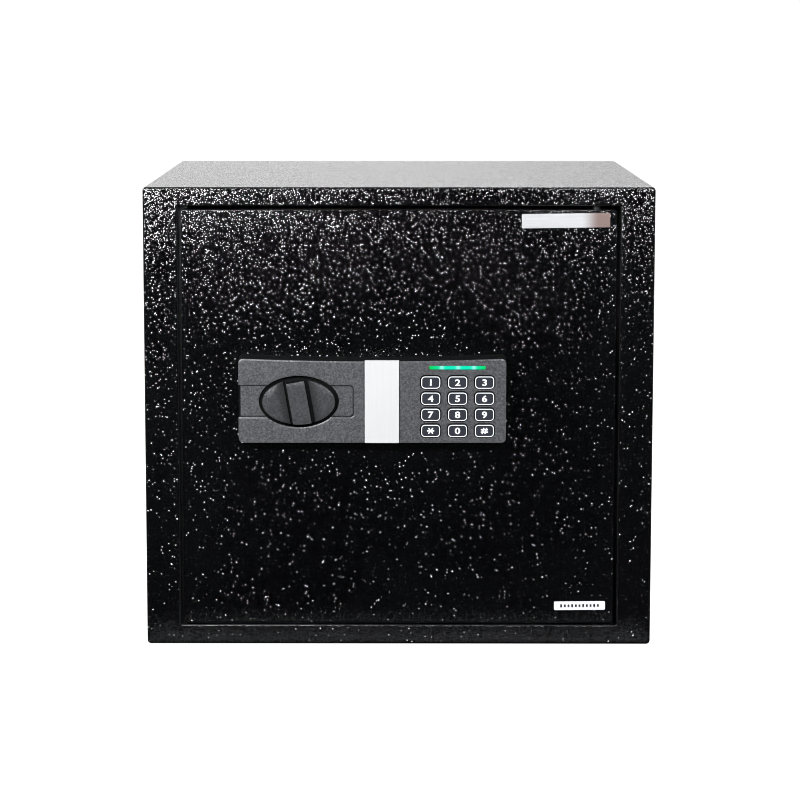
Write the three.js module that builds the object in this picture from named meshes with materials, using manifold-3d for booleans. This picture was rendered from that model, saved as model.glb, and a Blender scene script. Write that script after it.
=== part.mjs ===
// Electronic safe: a folded steel cabinet with a flange round its doorway, an inset door on hidden
// hinge pins, a lock panel on the door with a turning knob, a keypad and an emergency lock behind a
// pull-off cover, and two round bolts that the knob throws behind the left edge of the door frame.
// Units are millimetres. +X is to the right, +Y to the back and +Z up, and the origin is the centre
// of the cabinet's underside.

import * as THREE from 'three';
import { mergeVertices } from 'three/addons/utils/BufferGeometryUtils.js';
import Module from 'manifold-3d';

const wasm = await Module();
wasm.setup();

// ------------------------------------------------ driving dimensions

const GAP = 0.3; // clearance between two pieces that touch

const CABINET = { width: 400, height: 364, depth: 360, sheet: 2, sideFlange: 26.4, endFlange: 13.6 };
const FRAME = { lip: 2, back: 23, stopWidth: 7, stopThickness: 2 };
const ANCHOR = { x: 75, floorY: 20, rearZ: 262, diameter: 12, matDiameter: 16 };
const MAT = { thickness: 2.5, margin: 2, front: 26 };
const SHELF = { height: 178, front: 95, sheet: 1.5, lip: 12, rail: 14, railSheet: 1.7, margin: 5 };

const DOOR = { gap: 3, setback: 4.5, plate: 4, back: 20, fold: 2 };
const HINGE = { x: 155, setback: 13, pin: 6, head: 10, bite: 14, block: 15 };
const INNER_COVER = { left: -158, right: 140, low: 30, high: 330, front: 9, back: 58, wall: 1.7 };
const COVER_SCREW = { left: -140, right: 125, low: 45, high: 315, shank: 4, head: 8, tip: 11 };

const PANEL = { left: -125.6, right: 84, low: 163.8, high: 230.5, rise: 14, wall: 2.5, corner: 4 };
const WELL = { width: 62.8, height: 40.8, depth: 2.5 };
const CHANNEL = { right: -35.1, low: 184, high: 209.4, depth: 2, corner: 3 };
const KNOB = { x: -78.3, z: 196.5, width: 57, height: 35.3, rise: 4.7, hub: 26 };
const GRIP = { width: 14.2, tilt: 10, scoop: 1.8 }; // the bar left standing across the dial
const SPINDLE = { diameter: 8, back: 27.7 };
const BUSH = { sleeve: 13, flange: 20, back: 14 };
const CRANK = { front: 22, thickness: 6, boss: 20, radius: 16, angle: 30, pin: 8, pinBack: 37 };
const STRIP = { left: -26.7, right: 0.3, thickness: 2.3, seat: 1.7 };
const OVERRIDE = { x: -13, body: 18, plug: 11, back: 34, camReach: 14, camThickness: 2.5 };

const KEY = { x: 46.05, z: 192.7, pitchX: 21.05, pitchZ: 12.75, width: 15, height: 9.8, corner: 3 };
const KEY_RISE = 1.2; // how far a key stands proud of the panel, and its travel
const KEY_DEPTH = 5.7;
const KEY_NAMES = [
  ['key_1', 'key_2', 'key_3'],
  ['key_4', 'key_5', 'key_6'],
  ['key_7', 'key_8', 'key_9'],
  ['key_star', 'key_0', 'key_hash'],
];
const LIGHT = { x: 45.95, z: 223.25, width: 44, height: 2.5 };
const NAMEPLATE = { x: 130.6, z: 337.5, width: 68.8, height: 11.2, thickness: 0.8, tilt: 0.7 };
const LABEL = { x: 144, z: 30.5, width: 40.6, height: 7, thickness: 0.4, tilt: 0.6 };

const BOLT = { diameter: 16, setback: 32, tip: -164, heights: [130.5, 265.5], throw: 16 };
const CARRIAGE = { left: -128, sheet: 3, right: -35, low: 191, high: 223.5, webFront: 30.2, web: 2.5 };
const BOLT_GUIDE = { left: -152, sheet: 2, foot: 15, low: 110.5, high: 285.5, back: 46 };
const SOLENOID = { x: -60, setback: 31.5, width: 30, low: 141.5, high: 175.5, sheet: 2, coil: 22 };
const PLUNGER = { diameter: 6, low: 149.5, high: 190, collar: 10, collarZ: 183.5 };
const SPRING = { radius: 4.2, wire: 0.9, turns: 4 };

const BATTERY = { count: 4, diameter: 14.5, length: 50.5, pitch: 15, x: 36.5, z: 64, setback: 45 };
const BATTERY_LID = { left: 26, right: 92, low: 60, high: 119, frame: 3.5 };
const BOARD = { left: 8, right: 108, low: 155.5, high: 230.5, front: 14, thickness: 1.6 };
const RESET = { x: 100, z: 210.5, stem: 5, cap: 8, front: 20, capFront: 54, back: 60 };

// ------------------------------------------------ materials

const finish = (color, roughness, metalness) =>
  new THREE.MeshStandardMaterial({ color, roughness, metalness });

const blackCoat = finish(0x17181a, 0.45, 0.2);
const zincSteel = finish(0xaeb2b5, 0.35, 0.9);
const brightSteel = finish(0xd4d6d8, 0.2, 1);
const greyPlastic = finish(0x56575b, 0.5, 0);
const darkPlastic = finish(0x2b2c2e, 0.5, 0);
const blackRubber = finish(0x111213, 0.7, 0);
const satinSilver = finish(0xe6e7ea, 0.35, 0.6);
const paleNameplate = finish(0xc9c8c6, 0.3, 0.8);
const paperWhite = finish(0xeef0f5, 0.8, 0);
const greenLight = finish(0x1fd49a, 0.3, 0);
const boardGreen = finish(0x1f5b3a, 0.6, 0);
const brass = finish(0xb99a55, 0.3, 1);
const copper = finish(0x9c5a35, 0.5, 0.4);
const batteryWrap = finish(0x2f3236, 0.4, 0.3);
const greyFelt = finish(0x3a3b3e, 0.95, 0);
const redPlastic = finish(0xb3221d, 0.4, 0);

// ------------------------------------------------ solid helpers

const setback = (distance) => -CABINET.depth / 2 + distance; // Y of a plane behind the front face

function toSolid(geometry) {
  const bare = geometry.index ? geometry.toNonIndexed() : geometry.clone();
  bare.deleteAttribute('normal');
  bare.deleteAttribute('uv');
  const merged = mergeVertices(bare, 1e-4);
  return new wasm.Manifold(new wasm.Mesh({
    numProp: 3,
    vertProperties: new Float32Array(merged.attributes.position.array),
    triVerts: new Uint32Array(merged.index.array),
  }));
}

function toGeometry(solid) {
  const mesh = solid.getMesh();
  const geometry = new THREE.BufferGeometry();
  geometry.setAttribute('position', new THREE.BufferAttribute(mesh.vertProperties, 3));
  geometry.setIndex(new THREE.BufferAttribute(mesh.triVerts, 1));
  geometry.computeVertexNormals();
  return geometry;
}

const join = (first, ...others) => others.reduce((whole, other) => whole.add(other), first);
const cut = (first, ...others) => others.reduce((whole, other) => whole.subtract(other), first);

// A box between two corners, each [x, y, z].
function block(low, high) {
  const size = high.map((value, i) => value - low[i]);
  const geometry = new THREE.BoxGeometry(...size);
  geometry.translate(...low.map((value, i) => value + size[i] / 2));
  return toSolid(geometry);
}

// A box behind the front face: X range, range of set-backs, Z range.
const slab = ([x0, x1], [front, back], [z0, z1]) =>
  block([x0, setback(front), z0], [x1, setback(back), z1]);

// A round bar along X, Y or Z from one coordinate to another; centre gives the other two in order.
function bar(axis, diameter, from, to, centre, sides = 24) {
  const geometry = new THREE.CylinderGeometry(diameter / 2, diameter / 2, to - from, sides);
  const middle = (from + to) / 2;
  if (axis === 'x') {
    geometry.rotateZ(Math.PI / 2);
    geometry.translate(middle, centre[0], centre[1]);
  } else if (axis === 'y') {
    geometry.translate(centre[0], middle, centre[1]);
  } else {
    geometry.rotateX(Math.PI / 2);
    geometry.translate(centre[0], centre[1], middle);
  }
  return toSolid(geometry);
}

// A round bar along Y, between two set-backs.
const pin = (diameter, front, back, x, z, sides = 24) =>
  bar('y', diameter, setback(front), setback(back), [x, z], sides);

// An outline drawn in the front view (X right, Z up), extruded between two set-backs.
function extrudeBack(shape, front, back, curveSegments = 2) {
  const depth = back - front;
  const geometry = new THREE.ExtrudeGeometry(shape, { depth, bevelEnabled: false, curveSegments });
  geometry.rotateX(Math.PI / 2);
  geometry.translate(0, setback(back), 0);
  return toSolid(geometry);
}

function roundedRect(x, z, width, height, radius) {
  const [x0, x1] = [x - width / 2, x + width / 2];
  const [z0, z1] = [z - height / 2, z + height / 2];
  const shape = new THREE.Shape();
  shape.moveTo(x0 + radius, z0);
  shape.lineTo(x1 - radius, z0);
  shape.absarc(x1 - radius, z0 + radius, radius, -Math.PI / 2, 0, false);
  shape.lineTo(x1, z1 - radius);
  shape.absarc(x1 - radius, z1 - radius, radius, 0, Math.PI / 2, false);
  shape.lineTo(x0 + radius, z1);
  shape.absarc(x0 + radius, z1 - radius, radius, Math.PI / 2, Math.PI, false);
  shape.lineTo(x0, z0 + radius);
  shape.absarc(x0 + radius, z0 + radius, radius, Math.PI, 1.5 * Math.PI, false);
  return shape;
}

function ellipse(x, z, width, height) {
  const shape = new THREE.Shape();
  shape.absellipse(x, z, width / 2, height / 2, 0, 2 * Math.PI, false, 0);
  return shape;
}

const plate = (x, z, width, height, radius, front, back) =>
  extrudeBack(roundedRect(x, z, width, height, radius), front, back);

// ------------------------------------------------ the assembly

const group = new THREE.Group();

function part(name, solid, material) {
  const mesh = new THREE.Mesh(toGeometry(solid), material);
  mesh.name = name;
  group.add(mesh);
  return mesh;
}

// ------------------------------------------------ cabinet

const halfWidth = CABINET.width / 2;
const opening = {
  x: halfWidth - CABINET.sideFlange,
  low: CABINET.endFlange,
  high: CABINET.height - CABINET.endFlange,
};
const rearInside = CABINET.depth - CABINET.sheet; // set-back of the rear panel's inner face

function anchorHoles(makeHole) {
  return [-ANCHOR.x, ANCHOR.x].map(makeHole);
}

function addCabinet() {
  const { sheet, height } = CABINET;
  const innerX = halfWidth - sheet;
  const wrap = slab([-halfWidth, halfWidth], [0, rearInside - GAP], [0, height]);
  const hollow = slab([-innerX, innerX], [sheet, CABINET.depth], [sheet, height - sheet]);
  const doorway = slab([-opening.x, opening.x], [-sheet, 3 * sheet], [opening.low, opening.high]);
  const floorHoles = anchorHoles((x) =>
    bar('z', ANCHOR.diameter, -sheet, 2 * sheet, [x, ANCHOR.floorY]));
  part('cabinet_shell', cut(wrap, hollow, doorway, ...floorHoles), blackCoat);

  const rear = slab([-halfWidth, halfWidth], [rearInside, CABINET.depth], [0, height]);
  const rearHoles = anchorHoles((x) =>
    pin(ANCHOR.diameter, rearInside - 1, CABINET.depth + 1, x, ANCHOR.rearZ));
  part('rear_panel', cut(rear, ...rearHoles), blackCoat);
}

// The hole that both hinge pins stand in, right through from floor to roof.
function hingeHole() {
  return bar('z', HINGE.pin + 2 * GAP, 0, CABINET.height, [HINGE.x, setback(HINGE.setback)]);
}

function addDoorFrame() {
  const { lip, back, stopWidth, stopThickness } = FRAME;
  const front = CABINET.sheet + GAP;
  const outerX = opening.x + lip;
  const outerZ = [opening.low - lip, opening.high + lip];
  const outer = slab([-outerX, outerX], [front, back], outerZ);
  const inner = slab([-opening.x, opening.x], [front - 1, back + 1], [opening.low, opening.high]);
  const stop = slab([-outerX, stopWidth - opening.x], [back - stopThickness, back], outerZ);
  part('door_frame', cut(join(cut(outer, inner), stop), hingeHole()), blackCoat);
}

function addInterior() {
  const { sheet } = CABINET;
  const matX = halfWidth - sheet - MAT.margin;
  const matLow = sheet + GAP;
  const mat = slab([-matX, matX], [MAT.front, rearInside - MAT.margin], [matLow, matLow + MAT.thickness]);
  const matHoles = anchorHoles((x) => bar('z', ANCHOR.matDiameter, 0, 10, [x, ANCHOR.floorY]));
  part('floor_mat', cut(mat, ...matHoles), greyFelt);

  const shelfX = halfWidth - SHELF.margin;
  const lipX = halfWidth - sheet - SHELF.rail - 1;
  const shelfTop = SHELF.height + SHELF.sheet;
  const deckDepths = [SHELF.front, rearInside - SHELF.margin];
  const lipDepths = [SHELF.front, SHELF.front + SHELF.sheet];
  const deck = slab([-shelfX, shelfX], deckDepths, [SHELF.height, shelfTop]);
  const lip = slab([-lipX, lipX], lipDepths, [SHELF.height - SHELF.lip, shelfTop]);
  part('shelf', join(deck, lip), blackCoat);

  for (const side of [-1, 1]) {
    const wall = side * (halfWidth - sheet - GAP);
    const foot = wall - side * SHELF.railSheet;
    const tip = wall - side * SHELF.rail;
    const ordered = (a, b) => [Math.min(a, b), Math.max(a, b)];
    const depths = [SHELF.front, rearInside - GAP];
    const top = SHELF.height - GAP;
    const leg = slab(ordered(wall, foot), depths, [top - SHELF.rail, top]);
    const ledge = slab(ordered(wall, tip), depths, [top - SHELF.railSheet, top]);
    part(side < 0 ? 'shelf_rail_left' : 'shelf_rail_right', join(leg, ledge), blackCoat);
  }
}

// A headed pin held in the frame's lip, standing into the door's hinge block.
function addHingePins() {
  const centre = [HINGE.x, setback(HINGE.setback)];
  const headHeight = 2.8;
  const reach = opening.high - DOOR.gap - HINGE.bite;
  const top = opening.high + FRAME.lip + GAP;
  part('upper_hinge_pin', join(
    bar('z', HINGE.pin, reach, top + 0.5, centre),
    bar('z', HINGE.head, top, top + headHeight, centre),
  ), brightSteel);
  part('lower_hinge_pin', join(
    bar('z', HINGE.pin, CABINET.height - top - 0.5, CABINET.height - reach, centre),
    bar('z', HINGE.head, CABINET.height - top - headHeight, CABINET.height - top, centre),
  ), brightSteel);
}

// ------------------------------------------------ door

const door = { x: opening.x - DOOR.gap, low: opening.low + DOOR.gap, high: opening.high - DOOR.gap };
const doorFace = DOOR.setback;
const doorInside = DOOR.setback + DOOR.plate;

function addDoorPlate() {
  const { fold, back } = DOOR;
  const tray = cut(
    slab([-door.x, door.x], [doorFace, back], [door.low, door.high]),
    slab([fold - door.x, door.x - fold], [doorInside, back + 1], [door.low + fold, door.high - fold]),
  );
  const through = [0, doorInside + 1];
  const bushHole = pin(BUSH.sleeve + 2 * GAP, ...through, KNOB.x, KNOB.z);
  const lockHole = pin(OVERRIDE.body + 2 * GAP, ...through, OVERRIDE.x, KNOB.z);
  const cableHole = pin(16, ...through, KEY.x, KNOB.z);
  part('door_plate', cut(tray, hingeHole(), bushHole, lockHole, cableHole), blackCoat);
}

function addHingeBlocks() {
  const halfBlock = HINGE.block / 2;
  const across = [HINGE.x - halfBlock, HINGE.x + halfBlock];
  const depths = [doorInside + GAP, doorInside + 9.5];
  const roof = door.high - DOOR.fold - GAP;
  const floor = door.low + DOOR.fold + GAP;
  const upper = slab(across, depths, [roof - HINGE.block, roof]);
  const lower = slab(across, depths, [floor, floor + HINGE.block]);
  part('upper_hinge_block', cut(upper, hingeHole()), zincSteel);
  part('lower_hinge_block', cut(lower, hingeHole()), zincSteel);
}

// A thin plate on the door's face, turned a little about its own middle.
function addFacePlate(name, { x, z, width, height, thickness, tilt }, radius, material) {
  const mesh = part(name, plate(0, 0, width, height, radius, -thickness, 0), material);
  mesh.geometry.translate(0, -setback(0), 0);
  mesh.position.set(x, setback(doorFace - GAP), z);
  mesh.rotation.y = -THREE.MathUtils.degToRad(tilt);
}

function addInnerCover() {
  const { left, right, low, high, front, back, wall } = INNER_COVER;
  const shell = cut(
    slab([left, right], [front, back], [low, high]),
    slab([left + wall, right - wall], [front - 1, back - wall], [low + wall, high - wall]),
  );
  const boltHoles = BOLT.heights.map((z) =>
    bar('x', BOLT.diameter + 1.4, left - 1, left + wall + 1, [setback(BOLT.setback), z]));
  const lidHole = slab(
    [BATTERY_LID.left - GAP, BATTERY_LID.right + GAP], [back - wall - 1, back + 1],
    [BATTERY_LID.low - GAP, BATTERY_LID.high + GAP],
  );
  const resetHole = pin(RESET.cap + 0.8, back - wall - 1, back + 1, RESET.x, RESET.z);
  const screwHoles = coverScrewPlaces().map(([x, z]) =>
    pin(COVER_SCREW.shank + 2 * GAP, back - wall - 1, back + 1, x, z, 12));
  part('door_inner_cover', cut(shell, ...boltHoles, lidHole, resetHole, ...screwHoles), darkPlastic);
}

function coverScrewPlaces() {
  const { left, right, low, high } = COVER_SCREW;
  return [[left, low], [right, low], [left, high], [right, high]];
}

function addCoverScrews() {
  const { shank, head, tip } = COVER_SCREW;
  const seat = INNER_COVER.back + GAP;
  coverScrewPlaces().forEach(([x, z], i) => {
    part(`cover_screw_${i + 1}`, join(
      pin(shank, tip, seat + 0.5, x, z, 12), pin(head, seat, seat + 2.2, x, z, 16),
    ), zincSteel);
  });
}

// ------------------------------------------------ lock panel

const panelFace = doorFace - PANEL.rise; // set-back of the panel's front, negative as it stands proud
const panelMiddle = {
  x: (PANEL.left + PANEL.right) / 2,
  z: (PANEL.low + PANEL.high) / 2,
  width: PANEL.right - PANEL.left,
  height: PANEL.high - PANEL.low,
};

function keyPlace(row, column) {
  return [KEY.x + (column - 1) * KEY.pitchX, KEY.z + (1.5 - row) * KEY.pitchZ];
}

function eachKey(use) {
  return KEY_NAMES.flatMap((names, row) =>
    names.map((name, column) => use(name, ...keyPlace(row, column))));
}

function addLockPanel() {
  const { wall } = PANEL;
  const keypadLeft = STRIP.right + 2.6;
  const behindWell = panelFace + WELL.depth + 2;
  const { x: middleX, z: middleZ, width, height } = panelMiddle;
  const body = plate(middleX, middleZ, width, height, PANEL.corner, panelFace, doorFace - GAP);
  const innerZ = [PANEL.low + wall, PANEL.high - wall];
  const hollows = [
    slab([PANEL.left + wall, keypadLeft], [behindWell, doorFace + 1], innerZ),
    slab([keypadLeft, PANEL.right - wall], [panelFace + wall, doorFace + 1], innerZ),
  ];
  const wellOutline = ellipse(KNOB.x, KNOB.z, WELL.width, WELL.height);
  const well = extrudeBack(wellOutline, panelFace - 1, panelFace + WELL.depth, 18);
  const channelWidth = CHANNEL.right - PANEL.left + 10;
  const channel = plate(
    CHANNEL.right - channelWidth / 2, (CHANNEL.low + CHANNEL.high) / 2, channelWidth,
    CHANNEL.high - CHANNEL.low, CHANNEL.corner, panelFace - 1, panelFace + CHANNEL.depth,
  );
  const stripSeat = slab(
    [STRIP.left - GAP, STRIP.right + GAP], [panelFace - 1, panelFace + STRIP.seat],
    [PANEL.low - 1, PANEL.high + 1],
  );
  const hubHole = pin(KNOB.hub + 2 * GAP, panelFace, 0, KNOB.x, KNOB.z, 32);
  const lockHole = pin(OVERRIDE.body + 2 * GAP, panelFace, 0, OVERRIDE.x, KNOB.z);
  const keyHoles = eachKey((name, x, z) =>
    plate(x, z, KEY.width + 1, KEY.height + 1.1, KEY.corner + 0.4, panelFace - 1, panelFace + wall + 1));
  const lightSlot = plate(
    LIGHT.x, LIGHT.z, LIGHT.width + 2 * GAP, LIGHT.height + 2 * GAP, 1.2, panelFace - 1, panelFace + wall + 1,
  );
  const holes = [hubHole, lockHole, ...keyHoles, lightSlot];
  part('lock_panel', cut(body, ...hollows, well, channel, stripSeat, ...holes), greyPlastic);
}

function addKeypad() {
  const boardFront = panelFace + 6.1;
  part('keypad_board', slab([7, 80], [boardFront, boardFront + 1.6], [168, 225.5]), boardGreen);
  part('status_light', plate(
    LIGHT.x, LIGHT.z, LIGHT.width, LIGHT.height, 1, panelFace - GAP, panelFace + 5,
  ), greenLight);
  eachKey((name, x, z) => part(name, plate(
    x, z, KEY.width, KEY.height, KEY.corner, panelFace - KEY_RISE, panelFace - KEY_RISE + KEY_DEPTH,
  ), blackRubber));
}

function addOverrideLock() {
  const front = panelFace + STRIP.seat + 0.1;
  const tip = OVERRIDE.back + 6;
  const stripBack = panelFace + STRIP.seat - GAP;
  part('override_cover', slab(
    [STRIP.left, STRIP.right], [stripBack - STRIP.thickness, stripBack], [PANEL.low, PANEL.high],
  ), satinSilver);
  part('override_lock_body', cut(
    pin(OVERRIDE.body, front, OVERRIDE.back, OVERRIDE.x, KNOB.z),
    pin(OVERRIDE.plug + 2 * GAP, front - 1, OVERRIDE.back + 1, OVERRIDE.x, KNOB.z),
  ), zincSteel);
  const keyway = slab(
    [OVERRIDE.x - 0.8, OVERRIDE.x + 0.8], [front - 1, front + 4], [KNOB.z - 3.5, KNOB.z + 3.5],
  );
  part('override_plug', cut(join(
    pin(OVERRIDE.plug, front + 0.2, OVERRIDE.back + 2, OVERRIDE.x, KNOB.z),
    pin(6, OVERRIDE.back, tip, OVERRIDE.x, KNOB.z),
  ), keyway), brass);
  const camFront = OVERRIDE.back + 2 + GAP;
  const camBack = camFront + OVERRIDE.camThickness;
  part('override_cam', cut(
    join(
      pin(12, camFront, camBack, OVERRIDE.x, KNOB.z),
      slab([OVERRIDE.x - 4, OVERRIDE.x + 4], [camFront, camBack], [KNOB.z - OVERRIDE.camReach, KNOB.z]),
    ),
    pin(6 + 2 * GAP, camFront - 1, camBack + 1, OVERRIDE.x, KNOB.z),
  ), zincSteel);
}

// ------------------------------------------------ knob, spindle and crank

function addKnob() {
  const back = panelFace - GAP;
  const front = back - KNOB.rise;
  const hubBack = 2.5;
  const dial = extrudeBack(ellipse(KNOB.x, KNOB.z, KNOB.width, KNOB.height), front, back, 16);
  const hub = pin(KNOB.hub, back - 1, hubBack, KNOB.x, KNOB.z, 32);
  const socket = pin(SPINDLE.diameter + 2 * GAP, panelFace + 2, hubBack + 1, KNOB.x, KNOB.z);
  const scoops = [-1, 1].map((side) => {
    const scoop = new THREE.BoxGeometry(KNOB.width, 2 * GRIP.scoop, KNOB.width);
    scoop.translate(side * (GRIP.width + KNOB.width) / 2, 0, 0);
    scoop.rotateY(-THREE.MathUtils.degToRad(GRIP.tilt));
    scoop.translate(KNOB.x, setback(front), KNOB.z);
    return toSolid(scoop);
  });
  part('knob_dial', cut(join(dial, hub), socket, ...scoops), darkPlastic);
  part('knob_spindle', pin(
    SPINDLE.diameter, panelFace + 2 + GAP, SPINDLE.back, KNOB.x, KNOB.z,
  ), zincSteel);

  part('spindle_bush', cut(
    join(
      pin(BUSH.sleeve, doorFace + GAP, BUSH.back, KNOB.x, KNOB.z),
      pin(BUSH.flange, doorInside + GAP, doorInside + 2.5, KNOB.x, KNOB.z),
    ),
    pin(SPINDLE.diameter + 2 * GAP, 0, BUSH.back + 1, KNOB.x, KNOB.z),
  ), brass);
}

function addCrank() {
  const { front, thickness, boss, radius, angle, pinBack } = CRANK;
  const back = front + thickness;
  const lean = THREE.MathUtils.degToRad(angle);
  const pinX = KNOB.x + radius * Math.sin(lean);
  const pinZ = KNOB.z + radius * Math.cos(lean);
  const arm = new THREE.BoxGeometry(12, thickness, radius);
  arm.translate(0, 0, radius / 2);
  arm.rotateY(lean);
  arm.translate(KNOB.x, setback((front + back) / 2), KNOB.z);
  part('knob_crank', cut(
    join(
      pin(boss, front, back, KNOB.x, KNOB.z), toSolid(arm), pin(12, front, back, pinX, pinZ),
      pin(CRANK.pin, front, pinBack, pinX, pinZ),
    ),
    pin(SPINDLE.diameter + 2 * GAP, front - 1, back + 1, KNOB.x, KNOB.z),
  ), zincSteel);
}

// ------------------------------------------------ bolt work

function addBoltCarriage() {
  const { left, sheet, right, low, high, webFront, web } = CARRIAGE;
  const flangeRight = left + sheet;
  const flange = slab([left, flangeRight], [20, 44], [BOLT.heights[0] - 12, BOLT.heights[1] + 12]);
  const webPlate = slab([left + 1, right], [webFront, webFront + web], [low, high]);
  const slotX = KNOB.x + CRANK.radius * Math.sin(THREE.MathUtils.degToRad(CRANK.angle));
  const slot = plate(slotX, KNOB.z + 14, CRANK.pin + 0.7, 18, 4.2, webFront - 1, webFront + web + 1);
  const notches = [SOLENOID.x, SOLENOID.x + BOLT.throw].map((x) =>
    slab([x - 3.6, x + 3.6], [webFront - 1, webFront + web + 1], [low - 1, low + 6.5]));
  const screwHoles = BOLT.heights.map((z) =>
    bar('x', 6.6, left - 1, flangeRight + 1, [setback(BOLT.setback), z]));
  part('bolt_plate', cut(join(flange, webPlate), slot, ...notches, ...screwHoles), zincSteel);

  BOLT.heights.forEach((z, i) => {
    const name = ['lower', 'upper'][i];
    const centre = [setback(BOLT.setback), z];
    const boltEnd = left - GAP;
    part(`${name}_bolt`, cut(
      bar('x', BOLT.diameter, BOLT.tip, boltEnd, centre), bar('x', 6.6, boltEnd - 14, boltEnd + 1, centre),
    ), brightSteel);
    part(`${name}_bolt_screw`, join(
      bar('x', 6, boltEnd - 12, flangeRight + 1, centre),
      bar('x', 12, flangeRight + GAP, flangeRight + 5, centre, 6),
    ), zincSteel);
  });

}

function addBoltGuide() {
  const { left, sheet, foot, low, high, back } = BOLT_GUIDE;
  const right = left + sheet;
  const front = doorInside + GAP;
  const upright = slab([left, right], [front, back], [low, high]);
  const base = slab([left, right + foot], [front, front + sheet], [low, high]);
  const boltHoles = BOLT.heights.map((z) =>
    bar('x', BOLT.diameter + 2 * GAP, left - 1, right + 1, [setback(BOLT.setback), z]));
  part('bolt_guide', cut(join(upright, base), ...boltHoles), zincSteel);
}

class Helix extends THREE.Curve {
  constructor(centre, radius, from, to, turns) {
    super();
    Object.assign(this, { centre, radius, from, to, turns });
  }

  getPoint(t, target = new THREE.Vector3()) {
    const angle = 2 * Math.PI * this.turns * t;
    return target.set(
      this.centre[0] + this.radius * Math.cos(angle),
      this.centre[1] + this.radius * Math.sin(angle),
      this.from + (this.to - this.from) * t,
    );
  }
}

function addSolenoid() {
  const { x, width, low, high, sheet, coil } = SOLENOID;
  const half = width / 2;
  const centre = [x, setback(SOLENOID.setback)];
  const plungerHole = bar('z', PLUNGER.diameter + 2 * GAP, low + sheet + 1, high + 1, centre);
  const ring = cut(
    slab([x - half, x + half], [18, 45], [low, high]),
    slab([x - half + sheet, x + half - sheet], [17, 46], [low + sheet, high - sheet]),
  );
  const foot = slab([x - half, x + half], [doorInside + GAP, 19], [low, low + sheet]);
  part('solenoid_frame', cut(join(ring, foot), plungerHole), zincSteel);
  part('solenoid_coil', cut(
    bar('z', coil, low + sheet + GAP, high - sheet - GAP, centre), plungerHole,
  ), copper);

  const { collarZ } = PLUNGER;
  part('solenoid_plunger', join(
    bar('z', PLUNGER.diameter, PLUNGER.low, PLUNGER.high, centre),
    bar('z', PLUNGER.collar, collarZ, collarZ + 1.5, centre),
  ), brightSteel);

  const clear = GAP + SPRING.wire / 2;
  const wire = new THREE.Shape();
  wire.absarc(0, 0, SPRING.wire / 2, 0, 2 * Math.PI, false);
  const coils = new THREE.ExtrudeGeometry(wire, {
    extrudePath: new Helix(centre, SPRING.radius, high + clear, collarZ - clear, SPRING.turns),
    steps: SPRING.turns * 12,
    curveSegments: 3,
  });
  part('plunger_spring', toSolid(coils), brightSteel);
}

// ------------------------------------------------ power and control, behind the door

function addBatteries() {
  const { count, diameter, length, pitch, x, z } = BATTERY;
  const { frame } = BATTERY_LID;
  const wall = 2;
  const trayFront = 35;
  const rimBack = INNER_COVER.back - INNER_COVER.wall - GAP;
  const widen = ([low, high], margin) => [low - margin, high + margin];
  const cellsX = [x - pitch / 2 - GAP, x + (count - 0.5) * pitch + GAP];
  const cellsZ = [z - 1, z + length + 1];
  const tub = slab(widen(cellsX, wall), [trayFront, rimBack], widen(cellsZ, wall));
  const rim = slab(
    widen([BATTERY_LID.left, BATTERY_LID.right], frame), [rimBack - wall, rimBack],
    widen([BATTERY_LID.low, BATTERY_LID.high], frame),
  );
  const hollow = slab(cellsX, [trayFront + wall, rimBack + 1], cellsZ);
  part('battery_tray', cut(join(tub, rim), hollow), darkPlastic);

  for (let i = 0; i < count; i += 1) {
    const centre = [x + i * pitch, setback(BATTERY.setback)];
    const up = i % 2 === 0; // neighbouring cells lie head to tail
    const body = bar('z', diameter, up ? z : z + 1.2, z + length - (up ? 1.2 : 0), centre);
    const cap = bar('z', 5.5, up ? z + length - 2 : z, up ? z + length : z + 2, centre, 12);
    part(`battery_${i + 1}`, join(body, cap), batteryWrap);
  }

  part('battery_cover', slab(
    [BATTERY_LID.left, BATTERY_LID.right], [INNER_COVER.back - INNER_COVER.wall, INNER_COVER.back],
    [BATTERY_LID.low, BATTERY_LID.high],
  ), darkPlastic);
}

function addControlBoard() {
  const { left, right, low, high, front, thickness } = BOARD;
  const back = front + thickness;
  part('control_board', join(
    slab([left, right], [front, back], [low, high]),
    slab([40, 60], [back - 0.5, back + 2.5], [175, 195]),
    slab([20, 45], [back - 0.5, back + 7], [217.5, 225.5]),
    slab([RESET.x - 4, RESET.x + 4], [back - 0.5, back + 2.5], [RESET.z - 4, RESET.z + 4]),
  ), boardGreen);
  part('reset_button', join(
    pin(RESET.stem, RESET.front, RESET.capFront + 1, RESET.x, RESET.z, 12),
    pin(RESET.cap, RESET.capFront, RESET.back, RESET.x, RESET.z),
  ), redPlastic);
}

addCabinet();
addDoorFrame();
addInterior();
addHingePins();
addDoorPlate();
addHingeBlocks();
addFacePlate('nameplate', NAMEPLATE, 0.8, paleNameplate);
addFacePlate('serial_label', LABEL, 1, paperWhite);
addLockPanel();
addKeypad();
addOverrideLock();
addKnob();
addCrank();
addBoltCarriage();
addBoltGuide();
addSolenoid();
addBatteries();
addControlBoard();
addInnerCover();
addCoverScrews();

export default group;
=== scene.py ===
import math

import bmesh
import bpy
from mathutils import Matrix, Vector


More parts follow.
